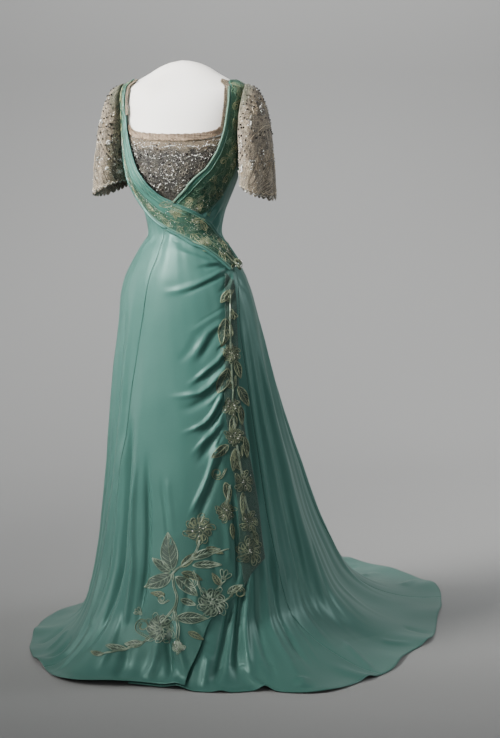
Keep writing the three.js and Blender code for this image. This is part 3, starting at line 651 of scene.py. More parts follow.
# ---- Shader helpers ------------------------------------------------------------------------
class Shade:
    """The nodes of one material or node group. Inputs are given by name, with underscores."""

    def __init__(self, tree):
        self.tree = tree

    def feed(self, socket, value):
        if isinstance(value, bpy.types.NodeSocket):
            self.tree.links.new(value, socket)
        else:
            socket.default_value = value

    def node(self, kind, settings=None, **values):
        made = self.tree.nodes.new("ShaderNode" + kind)
        for key, value in (settings or {}).items():
            setattr(made, key, value)
        for key, value in values.items():
            self.feed(made.inputs[key.replace("_", " ")], value)
        return made.outputs

    def calc(self, operation, a, b):
        made = self.tree.nodes.new("ShaderNodeMath")
        made.operation = operation
        self.feed(made.inputs[0], a)
        self.feed(made.inputs[1], b)
        return made.outputs[0]

    def times(self, a, b):
        return self.calc("MULTIPLY", a, b)

    def plus(self, a, b):
        return self.calc("ADD", a, b)

    def inverted(self, a):
        """1 - a."""
        return self.calc("SUBTRACT", 1.0, a)

    def colours(self, share, a, b):
        made = self.tree.nodes.new("ShaderNodeMix")
        made.data_type = "RGBA"
        for place, value in ((0, share), (6, a), (7, b)):
            self.feed(made.inputs[place], value)
        return made.outputs[2]

    def values(self, share, a, b):
        made = self.tree.nodes.new("ShaderNodeMix")
        for place, value in ((0, share), (2, a), (3, b)):
            self.feed(made.inputs[place], value)
        return made.outputs[0]

    def ramp(self, value, low, high):
        """0 below low, 1 above high."""
        smoothed = {"interpolation_type": "SMOOTHSTEP"}
        return self.node("MapRange", smoothed, Value=value, From_Min=low, From_Max=high)["Result"]

    def noise(self, vector, scale, detail, distortion=0.0, stretched=None):
        if stretched:
            vector = self.node("Mapping", Vector=vector, Scale=stretched)["Vector"]
        made = self.node("TexNoise", Vector=vector, Scale=scale, Detail=detail, Distortion=distortion)
        return made[0]

    def mask(self, name):
        """A mask that the sheet carries."""
        return self.node("Attribute", {"attribute_name": name})["Fac"]

    def cloth_vector(self):
        return self.node("UVMap", {"uv_map": "Cloth"})["UV"]

    def object_vector(self):
        return self.node("TexCoord")["Object"]

    def use_group(self, made_group, **values):
        made = self.tree.nodes.new("ShaderNodeGroup")
        made.node_tree = made_group
        for key, value in values.items():
            self.feed(made.inputs[key], value)
        return made.outputs


class Finish(Shade):
    """A material with its shader; uniform values go on the shader's own sockets."""

    def __init__(self, name, **uniform):
        self.material = bpy.data.materials.new(name)
        self.material.use_nodes = True
        super().__init__(self.material.node_tree)
        self.shader = self.tree.nodes["Principled BSDF"]
        self.drive(**uniform)

    def drive(self, **values):
        for key, value in values.items():
            self.feed(self.shader.inputs[key.replace("_", " ")], value)

    def bump(self, height, strength, distance):
        made = self.node("Bump", Height=height, Strength=strength, Distance=distance)
        self.drive(Normal=made["Normal"])


def group(name, inputs, outputs, fill):
    """A shader node group of values; inputs are its numbers by name, after the vector."""
    tree = bpy.data.node_groups.new(name, "ShaderNodeTree")
    tree.interface.new_socket(name="Vector", in_out="INPUT", socket_type="NodeSocketVector")
    for label, value in inputs.items():
        socket = tree.interface.new_socket(name=label, in_out="INPUT", socket_type="NodeSocketFloat")
        socket.default_value = value
    for label in outputs:
        tree.interface.new_socket(name=label, in_out="OUTPUT", socket_type="NodeSocketFloat")
    start = tree.nodes.new("NodeGroupInput")
    end = tree.nodes.new("NodeGroupOutput")
    for label, value in fill(Shade(tree), start.outputs).items():
        tree.links.new(value, end.inputs[label])
    return tree


def satin_face(shade, given):
    """Long warp floats with fine slubs, and the soft unevenness of pressed silk."""
    floats = shade.noise(given["Vector"], 1.0, 2.0, stretched=(2600, 160, 1))
    slubs = shade.noise(given["Vector"], 1.0, 1.0, stretched=(60, 900, 1))
    crush = shade.noise(given["Vector"], 1.0, 3.0, stretched=(34, 15, 1))
    wear = shade.noise(given["Vector"], 1.0, 4.0, stretched=(5, 2.2, 1))
    fine = shade.plus(shade.times(floats, 0.5), shade.times(slubs, 0.5))
    return {"Height": shade.plus(shade.times(fine, 0.12), crush), "Weave": fine, "Wear": wear}


def net_face(shade, given):
    """Machine net with small scrolls of thread worked over it."""
    vector = given["Vector"]
    cells = shade.node("TexVoronoi", {"feature": "DISTANCE_TO_EDGE"}, Vector=vector, Scale=given["Mesh"])
    thread = shade.inverted(shade.ramp(cells["Distance"], 0.05, 0.2))
    swirl = shade.noise(vector, given["Scroll"], 1.0, 3.2)
    scroll = shade.ramp(shade.calc("PINGPONG", shade.times(swirl, 5.0), 0.5), 0.3, 0.46)
    spots = shade.node("TexVoronoi", Vector=vector, Scale=given["Spots"])
    eye = shade.inverted(shade.ramp(spots["Distance"], 0.14, 0.36))
    height = shade.plus(shade.times(thread, 0.3), scroll)
    return {"Thread": thread, "Scroll": scroll, "Eye": eye, "Height": height}


def thread_face(shade, given):
    """Twist and tarnish of metal thread."""
    return {
        "Height": shade.noise(given["Vector"], 900.0, 1.0),
        "Tarnish": shade.noise(given["Vector"], 55.0, 3.0),
    }


SATIN_FACE = group("satin_face", {}, ("Height", "Weave", "Wear"), satin_face)
NET_FACE = group(
    "net_face", {"Mesh": 400.0, "Scroll": 60.0, "Spots": 90.0}, ("Thread", "Scroll", "Eye", "Height"),
    net_face)
THREAD_FACE = group("thread_face", {}, ("Height", "Tarnish"), thread_face)


def srgb(red, green, blue):
    """A colour given as a dyer's swatch from 0 to 255, made linear."""
    parts = []
    for part in (red, green, blue):
        share = part / 255
        parts.append(share / 12.92 if share <= 0.04045 else ((share + 0.055) / 1.055) ** 2.4)
    return (*parts, 1.0)


def make_satin(name, light, deep, net=None, worked=None):
    """Silk satin; where the sheet's "net" mask is 1 it is covered with embroidered net."""
    satin = Finish(
        name, Roughness=0.4, Specular_IOR_Level=0.5, Specular_Tint=srgb(190, 240, 228),
        Sheen_Weight=0.06, Sheen_Roughness=0.4, Sheen_Tint=srgb(170, 225, 212))
    vector = satin.cloth_vector()
    face = satin.use_group(SATIN_FACE, Vector=vector)
    colour = satin.colours(satin.ramp(face["Wear"], 0.35, 0.7), light, deep)
    colour = satin.colours(satin.times(face["Weave"], 0.14), colour, srgb(104, 160, 146))
    roughness = satin.values(face["Weave"], 0.34, 0.46)
    height = face["Height"]
    if net:
        mask = satin.mask("net")
        lace = satin.use_group(NET_FACE, Vector=vector, Mesh=420.0, Scroll=70.0, Spots=110.0)
        work = satin.colours(satin.times(lace["Scroll"], 0.5), net, worked)
        work = satin.colours(satin.times(lace["Eye"], 0.4), work, srgb(16, 32, 28))
        colour = satin.colours(mask, colour, work)
        roughness = satin.values(mask, roughness, 0.55)
        height = satin.values(mask, height, satin.times(lace["Height"], 0.8))
    satin.drive(Base_Color=colour, Roughness=roughness)
    satin.bump(height, 0.3, 0.0013)
    return satin.material


def make_embroidered(name, ground, worked, dark, cover):
    """Close embroidered net laid over satin."""
    net = Finish(name, Roughness=0.66, Sheen_Weight=0.15, Specular_IOR_Level=0.4)
    lace = net.use_group(NET_FACE, Vector=net.cloth_vector(), Mesh=430.0, Scroll=95.0, Spots=150.0)
    colour = net.colours(net.times(lace["Scroll"], cover), ground, worked)
    colour = net.colours(net.times(lace["Thread"], 0.18), colour, worked)
    colour = net.colours(net.times(lace["Eye"], 0.55), colour, dark)
    net.drive(Base_Color=colour, Roughness=net.values(lace["Scroll"], 0.74, 0.48))
    net.bump(lace["Height"], 0.5, 0.0012)
    return net.material


def make_beaded_net(name, ground, worked, dark, gaps, trim=None, border=None):
    """Net with lace scrolls; light comes through between its threads."""
    net = Finish(name, Roughness=0.7, Sheen_Weight=0.2, Specular_IOR_Level=0.45)
    vector = net.cloth_vector()
    lace = net.use_group(NET_FACE, Vector=vector, Mesh=330.0, Scroll=62.0, Spots=85.0)
    colour = net.colours(net.times(lace["Scroll"], 0.85), ground, worked)
    colour = net.colours(net.times(lace["Eye"], 0.75), colour, dark)
    open_net = net.ramp(net.noise(vector, 34.0, 1.0, 1.4), 0.47, 0.62)
    colour = net.colours(net.times(open_net, 0.55), colour, dark)
    if trim:
        colour = net.colours(net.mask("trim"), colour, trim)
    if border:
        lit = net.times(net.mask("border"), net.plus(net.times(lace["Scroll"], 0.6), 0.3))
        colour = net.colours(lit, colour, border)
    solid = net.calc("MAXIMUM", lace["Thread"], lace["Scroll"])
    net.drive(Base_Color=colour, Alpha=net.values(solid, 1.0 - gaps, 1.0))
    net.bump(lace["Height"], 0.6, 0.0013)
    return net.material


def make_thread(name, light, deep, metallic, roughness):
    thread = Finish(name, Roughness=roughness, Specular_IOR_Level=0.6)
    face = thread.use_group(THREAD_FACE, Vector=thread.object_vector())
    mask = thread.ramp(face["Tarnish"], 0.38, 0.62)
    thread.drive(
        Base_Color=thread.colours(mask, light, deep),
        Metallic=thread.values(mask, metallic, metallic * 0.4),
        Roughness=thread.values(mask, roughness, roughness + 0.15))
    thread.bump(face["Height"], 0.4, 0.0004)
    return thread.material


def make_glass_bead():
    glass = Finish("glass_bead_painted_glint", Roughness=0.08, Specular_IOR_Level=0.9, Coat_Roughness=0.03)
    # Where the noise is high a bead is painted near-white and plain: a painted glint that stands in for the
    # sparkle of cut glass. Elsewhere it is grey and partly metal.
    light = glass.ramp(glass.noise(glass.object_vector(), 210.0, 0.0), 0.42, 0.58)
    colour = glass.colours(light, srgb(150, 150, 142), srgb(250, 250, 244))
    glass.drive(Base_Color=colour, Metallic=glass.values(light, 0.35, 0.0), Coat_Weight=light)
    return glass.material


def make_form_cover():
    """Fine cotton jersey, slightly darker where hands have touched it."""
    jersey = Finish("form_jersey", Roughness=0.8, Sheen_Weight=0.25, Specular_IOR_Level=0.3)
    vector = jersey.object_vector()
    along_rows = jersey.node("Mapping", Vector=vector, Scale=(1, 1, 0.35))["Vector"]
    knit = jersey.node("TexWave", {"wave_profile": "SIN"}, Vector=along_rows, Scale=420.0, Distortion=1.0)
    touch = jersey.ramp(jersey.noise(vector, 6.0, 3.0), 0.4, 0.75)
    jersey.drive(Base_Color=jersey.colours(touch, srgb(250, 248, 243), srgb(242, 238, 231)))
    jersey.bump(knit["Fac"], 0.12, 0.0004)
    return jersey.material


def make_stand_metal():
    """Satin grey enamel, rubbed brighter in places."""
    metal = Finish("stand_enamel", Roughness=0.4, Metallic=0.7)
    vector = metal.object_vector()
    brushed = metal.noise(vector, 1.0, 2.0, stretched=(90, 90, 700))
    rubbed = metal.ramp(metal.noise(vector, 18.0, 4.0), 0.45, 0.7)
    colour = metal.colours(rubbed, srgb(128, 128, 126), srgb(160, 160, 158))
    metal.drive(Base_Color=colour, Roughness=metal.values(brushed, 0.3, 0.5))
    metal.bump(brushed, 0.15, 0.0003)
    return metal.material


TURQUOISE = srgb(62, 100, 92)
TURQUOISE_DEEP = srgb(52, 90, 83)
SATIN = make_satin("turquoise_satin", TURQUOISE, TURQUOISE_DEEP)
SATIN_NET = make_satin(
    "satin_with_net", TURQUOISE, TURQUOISE_DEEP, net=srgb(30, 64, 56), worked=srgb(58, 86, 72))
BAND_SATIN = make_satin(
    "band_satin", srgb(62, 106, 95), srgb(54, 98, 86), net=srgb(36, 70, 58), worked=srgb(86, 108, 80))
BAND_DARK = make_satin(
    "band_satin_dark", srgb(60, 106, 92), srgb(52, 96, 82), net=srgb(44, 74, 60), worked=srgb(98, 116, 86))
PIPING_SATIN = make_satin("piping_satin", srgb(88, 112, 96), srgb(74, 98, 82))
LINING = make_thread("olive_lining", srgb(56, 80, 66), srgb(48, 70, 58), 0.0, 0.7)
EMBROIDERED = make_embroidered("embroidered_net", srgb(34, 66, 58), srgb(62, 86, 70), srgb(18, 38, 33), 0.5)
BAND_GREEN = make_embroidered("band_embroidery", srgb(36, 66, 54), srgb(92, 112, 84), srgb(16, 34, 28), 0.6)
BEADED = make_beaded_net(
    "beaded_net", srgb(38, 36, 30), srgb(94, 89, 77), srgb(8, 8, 7), 0.2, trim=srgb(46, 42, 31),
    border=srgb(158, 140, 114))
SLEEVE_NET = make_beaded_net(
    "sleeve_net", srgb(114, 103, 86), srgb(206, 192, 166), srgb(24, 20, 16), 0.2, trim=srgb(66, 84, 62))
STRAP_LACE = make_beaded_net("strap_lace", srgb(112, 98, 78), srgb(190, 176, 150), srgb(46, 36, 28), 0.25)
TULLE = make_beaded_net("tulle_edging", srgb(150, 128, 104), srgb(196, 176, 150), srgb(66, 50, 38), 0.2)
GOLD = make_thread("pale_gold_thread", srgb(128, 138, 108), srgb(84, 94, 72), 0.1, 0.42)
BAND_GOLD = make_thread("bright_gold_thread", srgb(158, 162, 124), srgb(98, 106, 78), 0.2, 0.34)
SILVER = make_thread("silver_green_thread", srgb(158, 174, 152), srgb(100, 120, 100), 0.1, 0.42)
GREEN_THREAD = make_thread("green_silk_thread", srgb(92, 124, 98), srgb(60, 92, 72), 0.0, 0.42)
FLOSS = make_thread("silk_floss", srgb(48, 74, 60), srgb(36, 60, 48), 0.0, 0.5)
LACE_CORD = make_thread("lace_cord", srgb(206, 192, 166), srgb(150, 134, 110), 0.0, 0.55)
YOKE_CORD = make_thread("yoke_cord", srgb(120, 113, 99), srgb(70, 65, 55), 0.0, 0.5)
SATIN_CORD = make_thread("satin_cord", srgb(92, 138, 122), srgb(70, 114, 100), 0.0, 0.34)
KNOT_CORD = make_thread("knot_cord", srgb(112, 122, 96), srgb(70, 84, 68), 0.2, 0.4)
JET = make_thread("dark_bead", srgb(30, 24, 22), srgb(52, 44, 38), 0.3, 0.25)
GLASS = make_glass_bead()
FORM_COVER = make_form_cover()
STAND_METAL = make_stand_metal()


# ---- Satin sheets --------------------------------------------------------------------------
def stations_between(low, high, angle, step):
    """Stations about step mm of cloth apart, measured down the cloth at one angle."""
    fine = np.linspace(low, high, 1500)
    line = gown_line(np.full(fine.shape, float(angle)), fine)
    run = np.concatenate([[0], np.cumsum(np.linalg.norm(np.diff(line, axis=0), axis=1))])
    count = max(4, int(run[-1] / (step / FINE)))
    return np.interp(np.linspace(0, run[-1], count + 1), run, fine)


def across_steps(count):
    """Shares of a sheet's width, with a close pair of columns at each seam."""
    count = int(count * FINE)
    return np.concatenate([[0, 0.004], np.linspace(0, 1, count + 1)[1:-1], [0.996, 1]])


def seam_sunk(points, normals, seams):
    """The edges at a seam turn in a little."""
    for at, sewn in zip((0, -1), seams):
        if sewn:
            points[:, at] -= SEAM_SINK * normals[:, at]
    return points


def edge_at(edge, stations):
    """An edge's angles: one angle all the way up, or a table of (station, angle)."""
    return np.full(len(stations), float(edge)) if np.isscalar(edge) else column(edge, 1, stations)


def panel(name, layer, stations, start, finish, count, seams=(True, True)):
    """A panel of satin between two edges."""
    low, high = (edge_at(edge, stations)[:, None] for edge in (start, finish))
    angle = mix(low, high, across_steps(count)[None])
    station = stations[:, None] + 0 * angle
    gap = SEAM_GAP / 2 / np.linalg.norm(along(angle, station), axis=-1)
    angle = np.clip(angle, low + gap, high - gap)
    points, normals = layer.at(angle, station)
    return sheet(name, seam_sunk(points, normals, seams), normals, SATIN, CLOTH_WALL, LINING)


def make_skirt():
    whole = (0, BODICE_TOP)
    right_back_edge = [(station, -angle) for station, angle in BACK_EDGE]
    under_top = UNDER_FRONT_TOP - SEAM_GAP
    return {
        "skirt_side_right": panel(
            "satin_side_right", SIDE_RIGHT, stations_between(*whole, -75, 6), -SIDE_BACK,
            RIGHT_SIDE_EDGE, 96),
        "skirt_side_left": panel(
            "satin_side_left", SIDE_LEFT, stations_between(*whole, 95, 6), LEFT_SIDE_EDGE, SIDE_BACK, 76),
        "skirt_back_left": panel(
            "satin_back_left", BACK_LEFT, stations_between(*whole, 150, 7), SIDE_BACK, BACK_EDGE, 64),
        "skirt_back_right": panel(
            "satin_back_right", BACK_RIGHT, stations_between(*whole, 150, 7), right_back_edge,
            -SIDE_BACK, 64),
        "skirt_front_under": panel(
            "satin_front_under", UNDER_FRONT, stations_between(0, under_top, 40, 5), UNDER_FRONT_START,
            LEFT_SIDE_EDGE, 80, seams=(False, True)),
        "bodice_front_left": panel(
            "satin_bodice_left", BODICE_LEFT, stations_between(UNDER_FRONT_TOP, 1160, 60, 3.5),
            BODICE_LEFT_EDGE, LEFT_SIDE_EDGE, 44),
    }


# The net that lies on the wrap's lower corner: its upper left edge as (station, angle).
NET_EDGE = [
    (0, 30), (40, -14), (90, -16), (140, -6), (200, -2), (300, 4), (350, 12), (400, 20), (470, 27),
    (540, 33), (600, 37),
]


def net_on_wrap(angle, station):
    inside = smooth((angle - column(NET_EDGE, 1, station)) / 5)
    above_hem = smooth((station - 44) / 18)
    return 0.3 * inside * above_hem * smooth((NET_EDGE[-1][0] - station) / 60)


def wrap_grid(across, layer, top_station):
    """Points of the wrap at these shares of its width, from its hem up to the band."""
    rows = stations_between(0, top_station, 20, 4.6)[:, None] / WRAP_TOP
    start, finish = front_seam(0.0), front_seam(float(WRAP_TOP))
    bottom = column(WRAP_BOTTOM, 1, mix(start, WRAP_BOTTOM[-1][0], across[None]))
    band = column(RIGHT_BAND, 1, mix(finish, WRAP_EDGE[-1][1], across[None]))
    top = WRAP_TOP + band - column(RIGHT_BAND, 1, finish)
    station = mix(bottom, top, rows)
    angle = mix(front_seam(station) + 0.1, wrap_edge(station), across[None])
    return *layer.at(angle, station), angle, station


def make_overskirt():
    points, normals, angle, station = wrap_grid(across_steps(128), OVERSKIRT, WRAP_TOP)
    points = seam_sunk(points, normals, (True, False))
    masks = {"net": net_on_wrap(angle, station)}
    wrap = sheet("satin_overskirt", points, normals, SATIN_NET, CLOTH_WALL, LINING, masks=masks)
    strip_steps = mix(STRIP_START, 1.0, np.linspace(0, 1, 25))
    points, normals, _, _ = wrap_grid(strip_steps, EDGE_BAND, EDGE_BAND_TOP)
    strip = sheet("net_edge_band", points, normals, EMBROIDERED, NET_WALL)
    return {"overskirt_front": wrap, "overskirt_edge_band": strip}


# ---- Bands over the shoulders --------------------------------------------------------------
def between_rows(table, t):
    """The rows of a table at t, which counts them, along a line that bends softly through all."""
    rows = np.array(table, float)
    last = len(rows) - 1
    i = np.clip(np.floor(t).astype(int), 0, last - 1)
    f = (t - i)[:, None]
    a, b, c, d = (rows[np.clip(i + k, 0, last)] for k in (-1, 0, 1, 2))
    return b + 0.5 * f * (c - a + f * (2 * a - 5 * b + 4 * c - d + f * (3 * (b - c) + d - a)))


def on_band(table, t, across, raised=0.0, flipped=False):
    """Points and directions on a band: t counts its rows, across is mm from its middle."""
    t, across = np.broadcast_arrays(np.asarray(t, float), np.asarray(across, float))
    shape, t, across = t.shape, t.ravel(), across.ravel()
    angle, station, _, lift = between_rows(table, t).T
    before, after = np.maximum(t - BAND_STEP, 0), np.minimum(t + BAND_STEP, len(table) - 1)
    before, after = (gown_line(*between_rows(table, where).T[:2]) for where in (before, after))
    side = unit(np.cross(outward(angle, station), unit(after - before)))
    around, up = along(angle, station), upward(angle, station)
    angle = angle + across * (side * around).sum(1) / (around ** 2).sum(1)
    station = station + across * (side * up).sum(1) / (up ** 2).sum(1)
    normals = outward(angle, station)
    lift = lift + np.broadcast_to(raised, shape).ravel()
    points = gown_line(angle, station) + lift[:, None] * normals
    if flipped:
        points[:, 0] *= -1
        normals[:, 0] *= -1
    return points.reshape(*shape, 3), normals.reshape(*shape, 3)


def band_width(table, t):
    return between_rows(table, np.atleast_1d(np.asarray(t, float)))[:, 2]


def band_sheet(name, table, columns, material, wall=CLOTH_WALL, start=0, end=None, beyond=0.0, raised=0.0,
               flipped=False, per_row=12, shape=None, net=None, outline=None):
    """A sheet along a band; with beyond it is a strip of that width outside the band's edge."""
    end = len(table) - 1 if end is None else end
    t = np.linspace(start, end, max(4, int((end - start) * per_row * FINE)))[:, None]
    width = band_width(table, t[:, 0])[:, None]
    share = np.linspace(0, 1, columns)[None]
    if beyond:
        across = math.copysign(1, beyond) * (width / 2 + SEAM_GAP) + beyond * share
    else:
        across = width * (share - 0.5)
    if outline:
        across = across + outline(t, share)
    lift = raised + (shape(t, share) if shape else 0.0)
    points, normals = on_band(table, t, across, lift, flipped)
    masks = {"net": net(t, share + 0 * t)} if net else None
    return sheet(name, points, normals, material, wall, masks=masks)


def edge_roll(t, share):
    return -0.9 * (smooth((0.06 - share) / 0.06) + smooth((share - 0.94) / 0.06))


def tucked_roll(t, share):
    """Fine tucks along the satin half of the right band, between its rolled edges."""
    tucks = 0.9 * np.cos(2 * np.pi * share * 5.2)
    return tucks * smooth((share - 0.42) / 0.1) * smooth((9 - t) / 2) + edge_roll(t, share)


def right_band_net(t, share):
    """Embroidery covers the outer part of the strap, and the whole band past the crossing."""
    strap = smooth((0.82 - 0.3 * smooth((t - 3) / 3) - share) / 0.06)
    return np.maximum(strap, smooth((t - 8.2) / 1.4) * smooth((0.96 - share) / 0.03))


def left_band_net(t, share):
    return smooth((share - 0.03) / 0.04)


def fold_round(t, share):
    return 3.2 * np.sin(np.pi * share)


def piping_round(t, share):
    return 2.2 * np.sin(np.pi * share)


def frill(t, share):
    """A gathered edge: small waves that grow towards its free side."""
    return share * (1.3 * np.sin(t * 61) + 0.7 * np.sin(t * 37 + 1.3))


def scalloped(t, share):
    """Both sides of a lace edging wave in and out, and its lower side covers the yoke's edge."""
    waves = 0.5 + 0.9 * np.abs(np.sin(t * 9.5)) + 0.5 * np.sin(t * 29 + 1.7)
    return (2 * share - 1) * waves - 3 * (1 - share)


def make_bands():
    lace = {"wall": NET_WALL, "shape": frill}
    strap = {**lace, "start": 1, "end": 4, "raised": -2, "per_row": 44}
    return {
        "bodice_band_right": band_sheet(
            "band_right", RIGHT_BAND, 40, BAND_SATIN, shape=tucked_roll, net=right_band_net),
        "bodice_band_left": band_sheet(
            "band_left", LEFT_BAND, 36, BAND_DARK, shape=edge_roll, net=left_band_net),
        "back_band_left": band_sheet("band_back_left", BACK_BAND, 24, BAND_GREEN, shape=edge_roll),
        "back_band_right": band_sheet(
            "band_back_right", BACK_BAND, 24, BAND_GREEN, shape=edge_roll, flipped=True),
        "band_right_fold": band_sheet(
            "band_fold", RIGHT_BAND, 8, SATIN, start=5, beyond=-9, shape=fold_round),
        "band_right_piping": band_sheet(
            "piping_right", RIGHT_BAND, 6, SATIN, start=4, beyond=5, shape=piping_round),
        "band_left_piping": band_sheet(
            "piping_left", LEFT_BAND, 6, PIPING_SATIN, start=2, beyond=-6, shape=piping_round),
        "yoke_edging_front": band_sheet(
            "frill_front", FRONT_EDGING, 7, TULLE, per_row=40, outline=scalloped, **lace),
        "yoke_edging_back": band_sheet(
            "frill_back", BACK_EDGING, 7, TULLE, per_row=60, outline=scalloped, **lace),
        "strap_edging_left": band_sheet("frill_strap_left", LEFT_BAND, 8, STRAP_LACE, beyond=-13, **strap),
        "strap_edging_right": band_sheet("frill_strap_right", RIGHT_BAND, 6, STRAP_LACE, beyond=9, **strap),
    }


# ---- Yoke and sleeves ----------------------------------------------------------------------
def columns_at(table, share):
    """Every column of a table at a share of its length."""
    numbered = np.column_stack([np.arange(len(table), dtype=float), table])
    return [column(numbered, key, share * (len(table) - 1.0)) for key in range(1, numbered.shape[1])]


def on_yoke(table, row_share, share, extra=0.0):
    middle, rise, start, finish = columns_at(table, row_share)
    station = middle + rise * (2 * share - 1) ** 4
    angle = mix(start, finish, share)
    normals = outward(angle, station)
    lift = YOKE_LIFT + np.broadcast_to(extra, angle.shape)
    return gown_line(angle, station) + lift[..., None] * normals, normals


def make_yoke():
    made = {}
    for side, table in (("front", YOKE_FRONT), ("back", YOKE_BACK)):
        row, share = np.meshgrid(np.linspace(0, 1, 44), np.linspace(0, 1, 72), indexing="ij")
        pucker = 0.5 * np.sin(share * 47 + row * 9) * np.sin(row * 31 - share * 12)
        points, normals = on_yoke(table, row, share, pucker)
        masks = {
            "trim": smooth((0.3 + 0.08 * np.cos(share * 50) - row) / 0.12),
            "border": smooth((row - 0.86 + 0.05 * np.abs(np.sin(share * 19))) / 0.05),
        }
        made["yoke_" + side] = sheet("net_yoke_" + side, points, normals, BEADED, NET_WALL, masks=masks)
    return made


def on_sleeve(side, length_share, degrees, extra=0.0):
    """length_share runs from the armhole, 0, to the cuff, 1; degrees from the outer side."""
    length_share, degrees = np.broadcast_arrays(np.asarray(length_share, float), degrees)
    under_x, under_z, outer_x, outer_z, deep = columns_at(SLEEVE, length_share)
    centre = np.stack([(under_x + outer_x) / 2, 0 * deep, (under_z + outer_z) / 2], -1)
    width = np.stack([(outer_x - under_x) / 2, 0 * deep, (outer_z - under_z) / 2], -1)
    turn = np.radians(degrees)
    points = centre + width * np.cos(turn)[..., None]
    points[..., 1] += deep * np.sin(turn)
    normals = width * (np.cos(turn) / (width ** 2).sum(-1))[..., None]
    normals[..., 1] += np.sin(turn) / deep
    normals = unit(normals)
    soft = smooth((np.cos(turn) + 0.5) / 0.8) * length_share
    wave = 2.6 * np.sin(degrees / 11.0 + 1.1 * side) + 1.6 * np.sin(degrees / 6.1 + 2.0)
    tuck = 1.8 * np.exp(-((length_share - 0.52) / 0.012) ** 2)
    points = points + (soft * wave + tuck + extra)[..., None] * normals
    scallop = np.abs(np.sin(np.radians(degrees) * CUFF_SCALLOPS / 2)) ** 0.7
    points[..., 2] -= 7 * scallop * smooth((length_share - 0.88) / 0.12)
    points[..., 0] *= side
    normals[..., 0] *= side
    return points, normals


def set_into_bodice(ring, side):
    """Where the head of a sleeve meets the bodice: level with the armhole, drawn in under the strap."""
    station, y = ring[:, 2], 0.62 * ring[:, 1]
    reach = np.where(y < 0, column(LEVELS, DEEP_FRONT, station), column(LEVELS, DEEP_BACK, station))
    angle = np.degrees(np.arccos(np.clip(-y / reach, -1, 1)))
    joined = gown_line(angle, station) + 2.6 * outward(angle, station)
    joined[:, 0] = side * np.minimum(joined[:, 0], np.abs(ring[:, 0]) - 1)
    return joined


def make_sleeves():
    made = {}
    length, degrees = np.meshgrid(np.linspace(0, 1, 40), np.linspace(0, 360, 201)[:-1], indexing="ij")
    easing = ((0, 0), (0.4, 2.0), (0.75, 1.6))      # share of the way out from the bodice, bulge
    at_head = smooth((0.2 - length) / 0.14) * smooth((np.cos(np.radians(degrees)) - 0.1) / 0.5)
    trim = 0.45 * np.concatenate([np.repeat(at_head[:1], len(easing), 0), at_head])
    for name, side in (("left", 1), ("right", -1)):
        points, normals = on_sleeve(side, length, degrees)
        joined = set_into_bodice(points[0], side)
        head = [mix(joined, points[0], share) + bulge * normals[0] for share, bulge in easing]
        points = np.concatenate([np.stack(head), points])
        normals = np.concatenate([np.repeat(normals[:1], len(easing), 0), normals])
        made["sleeve_" + name] = sheet(
            "net_sleeve_" + name, points, normals, SLEEVE_NET, NET_WALL, around=True, masks={"trim": trim})
    return made


# ---- Embroidery ----------------------------------------------------------------------------
def lay(place, jobs):
    """Lay flat-drawn threads on cloth in one go: place gives points at (u, v, lift); a job is
    its mesh of threads, then u, v, lift, thread radius and whether it closes on itself."""
    spread = [[np.broadcast_to(value, job[1].shape) for value in job[1:4]] for job in jobs]
    points, normals = place(*(np.concatenate(values) for values in zip(*spread)))
    start = 0
    for threads, spots, _, _, radius, closed in jobs:
        end = start + len(spots)
        sides = 3 if radius < FINE_THREAD else 4
        threads.thread(points[start:end], normals[start:end], radius, sides, closed)
        start = end


def on_wrap(angle, station, extra):
    """On the wrap, or on the embroidered strip that lies on its edge."""
    inner = mix(front_seam(station), wrap_edge(station), STRIP_RISE)
    strip = EDGE_BAND_LIFT * smooth((angle - inner) / 1.2) * smooth((890 - station) / 10)
    return OVERSKIRT.at(angle, station, extra + strip)


def flat_on_wrap(row, local):
    """A motif's points, drawn flat in mm, as angles and stations."""
    _, angle, station, turn, _ = row
    local = turned(local, turn)
    angle, station = np.array([float(angle)]), np.array([float(station)])
    mm_round, mm_up = (np.linalg.norm(step(angle, station)) for step in (along, upward))
    return angle + local[:, 0] / mm_round, np.maximum(station + local[:, 1] / mm_up, 1)


def ring_of(count):
    """Points round a circle of radius 1, the last one short of the first."""
    spin = np.linspace(0, 2 * np.pi, count, endpoint=False)
    return np.stack([np.cos(spin), np.sin(spin)], -1)


def petal_loop(start, end, width, bend=0.0, count=10):
    """Closed outline of a petal along the up direction, from start to end."""
    cosine, sine = ring_of(count).T
    up = (start + end) / 2 - (end - start) / 2 * cosine
    share = (up - start) / (end - start)
    across = width / 2 * sine * (0.55 + 0.75 * share) + bend * share ** 2
    return np.stack([across, up], -1)


def turned(points, degrees):
    c, s = math.cos(math.radians(degrees)), math.sin(math.radians(degrees))
    return points @ np.array([[c, s], [-s, c]])


def rosette(radius):
    """Threads of an open flower: (points, thread radius, closed). Double petals of uneven
    length round a coiled middle."""
    threads = []
    # start, end and width as shares of the radius, how many, and a share of a step to turn by
    rounds = ((0.36, 1.0, 0.42, 10, 0), (0.42, 0.8, 0.22, 10, 0), (0.1, 0.4, 0.24, 6, 0.5))
    for start, end, wide, petals, shift in rounds:
        for p in range(petals):
            uneven = 1 + 0.15 * math.sin(2.3 * p + radius)
            loop = petal_loop(start * radius, end * radius * uneven, wide * radius, 0.14 * radius)
            sway = 6 * math.sin(3.1 * p + 0.7 * radius)
            threads.append((turned(loop, 360 * (p + shift) / petals + sway), 0.72, True))
    spin = np.linspace(0, 4 * np.pi, 18)
    coil = np.stack([np.cos(spin), np.sin(spin)], -1) * (0.12 * radius * spin / spin[-1])[:, None]
    return threads + [(coil, 0.7, False)]


def leaf_rib(length, t):
    return np.stack([LEAF_BEND * length * t ** 2, length * t], -1)


def leaf_half(width, t):
    """Half the width of a leaf at a share of its length."""
    return width / 2 * np.sin(np.pi * t ** 0.82) ** 0.9


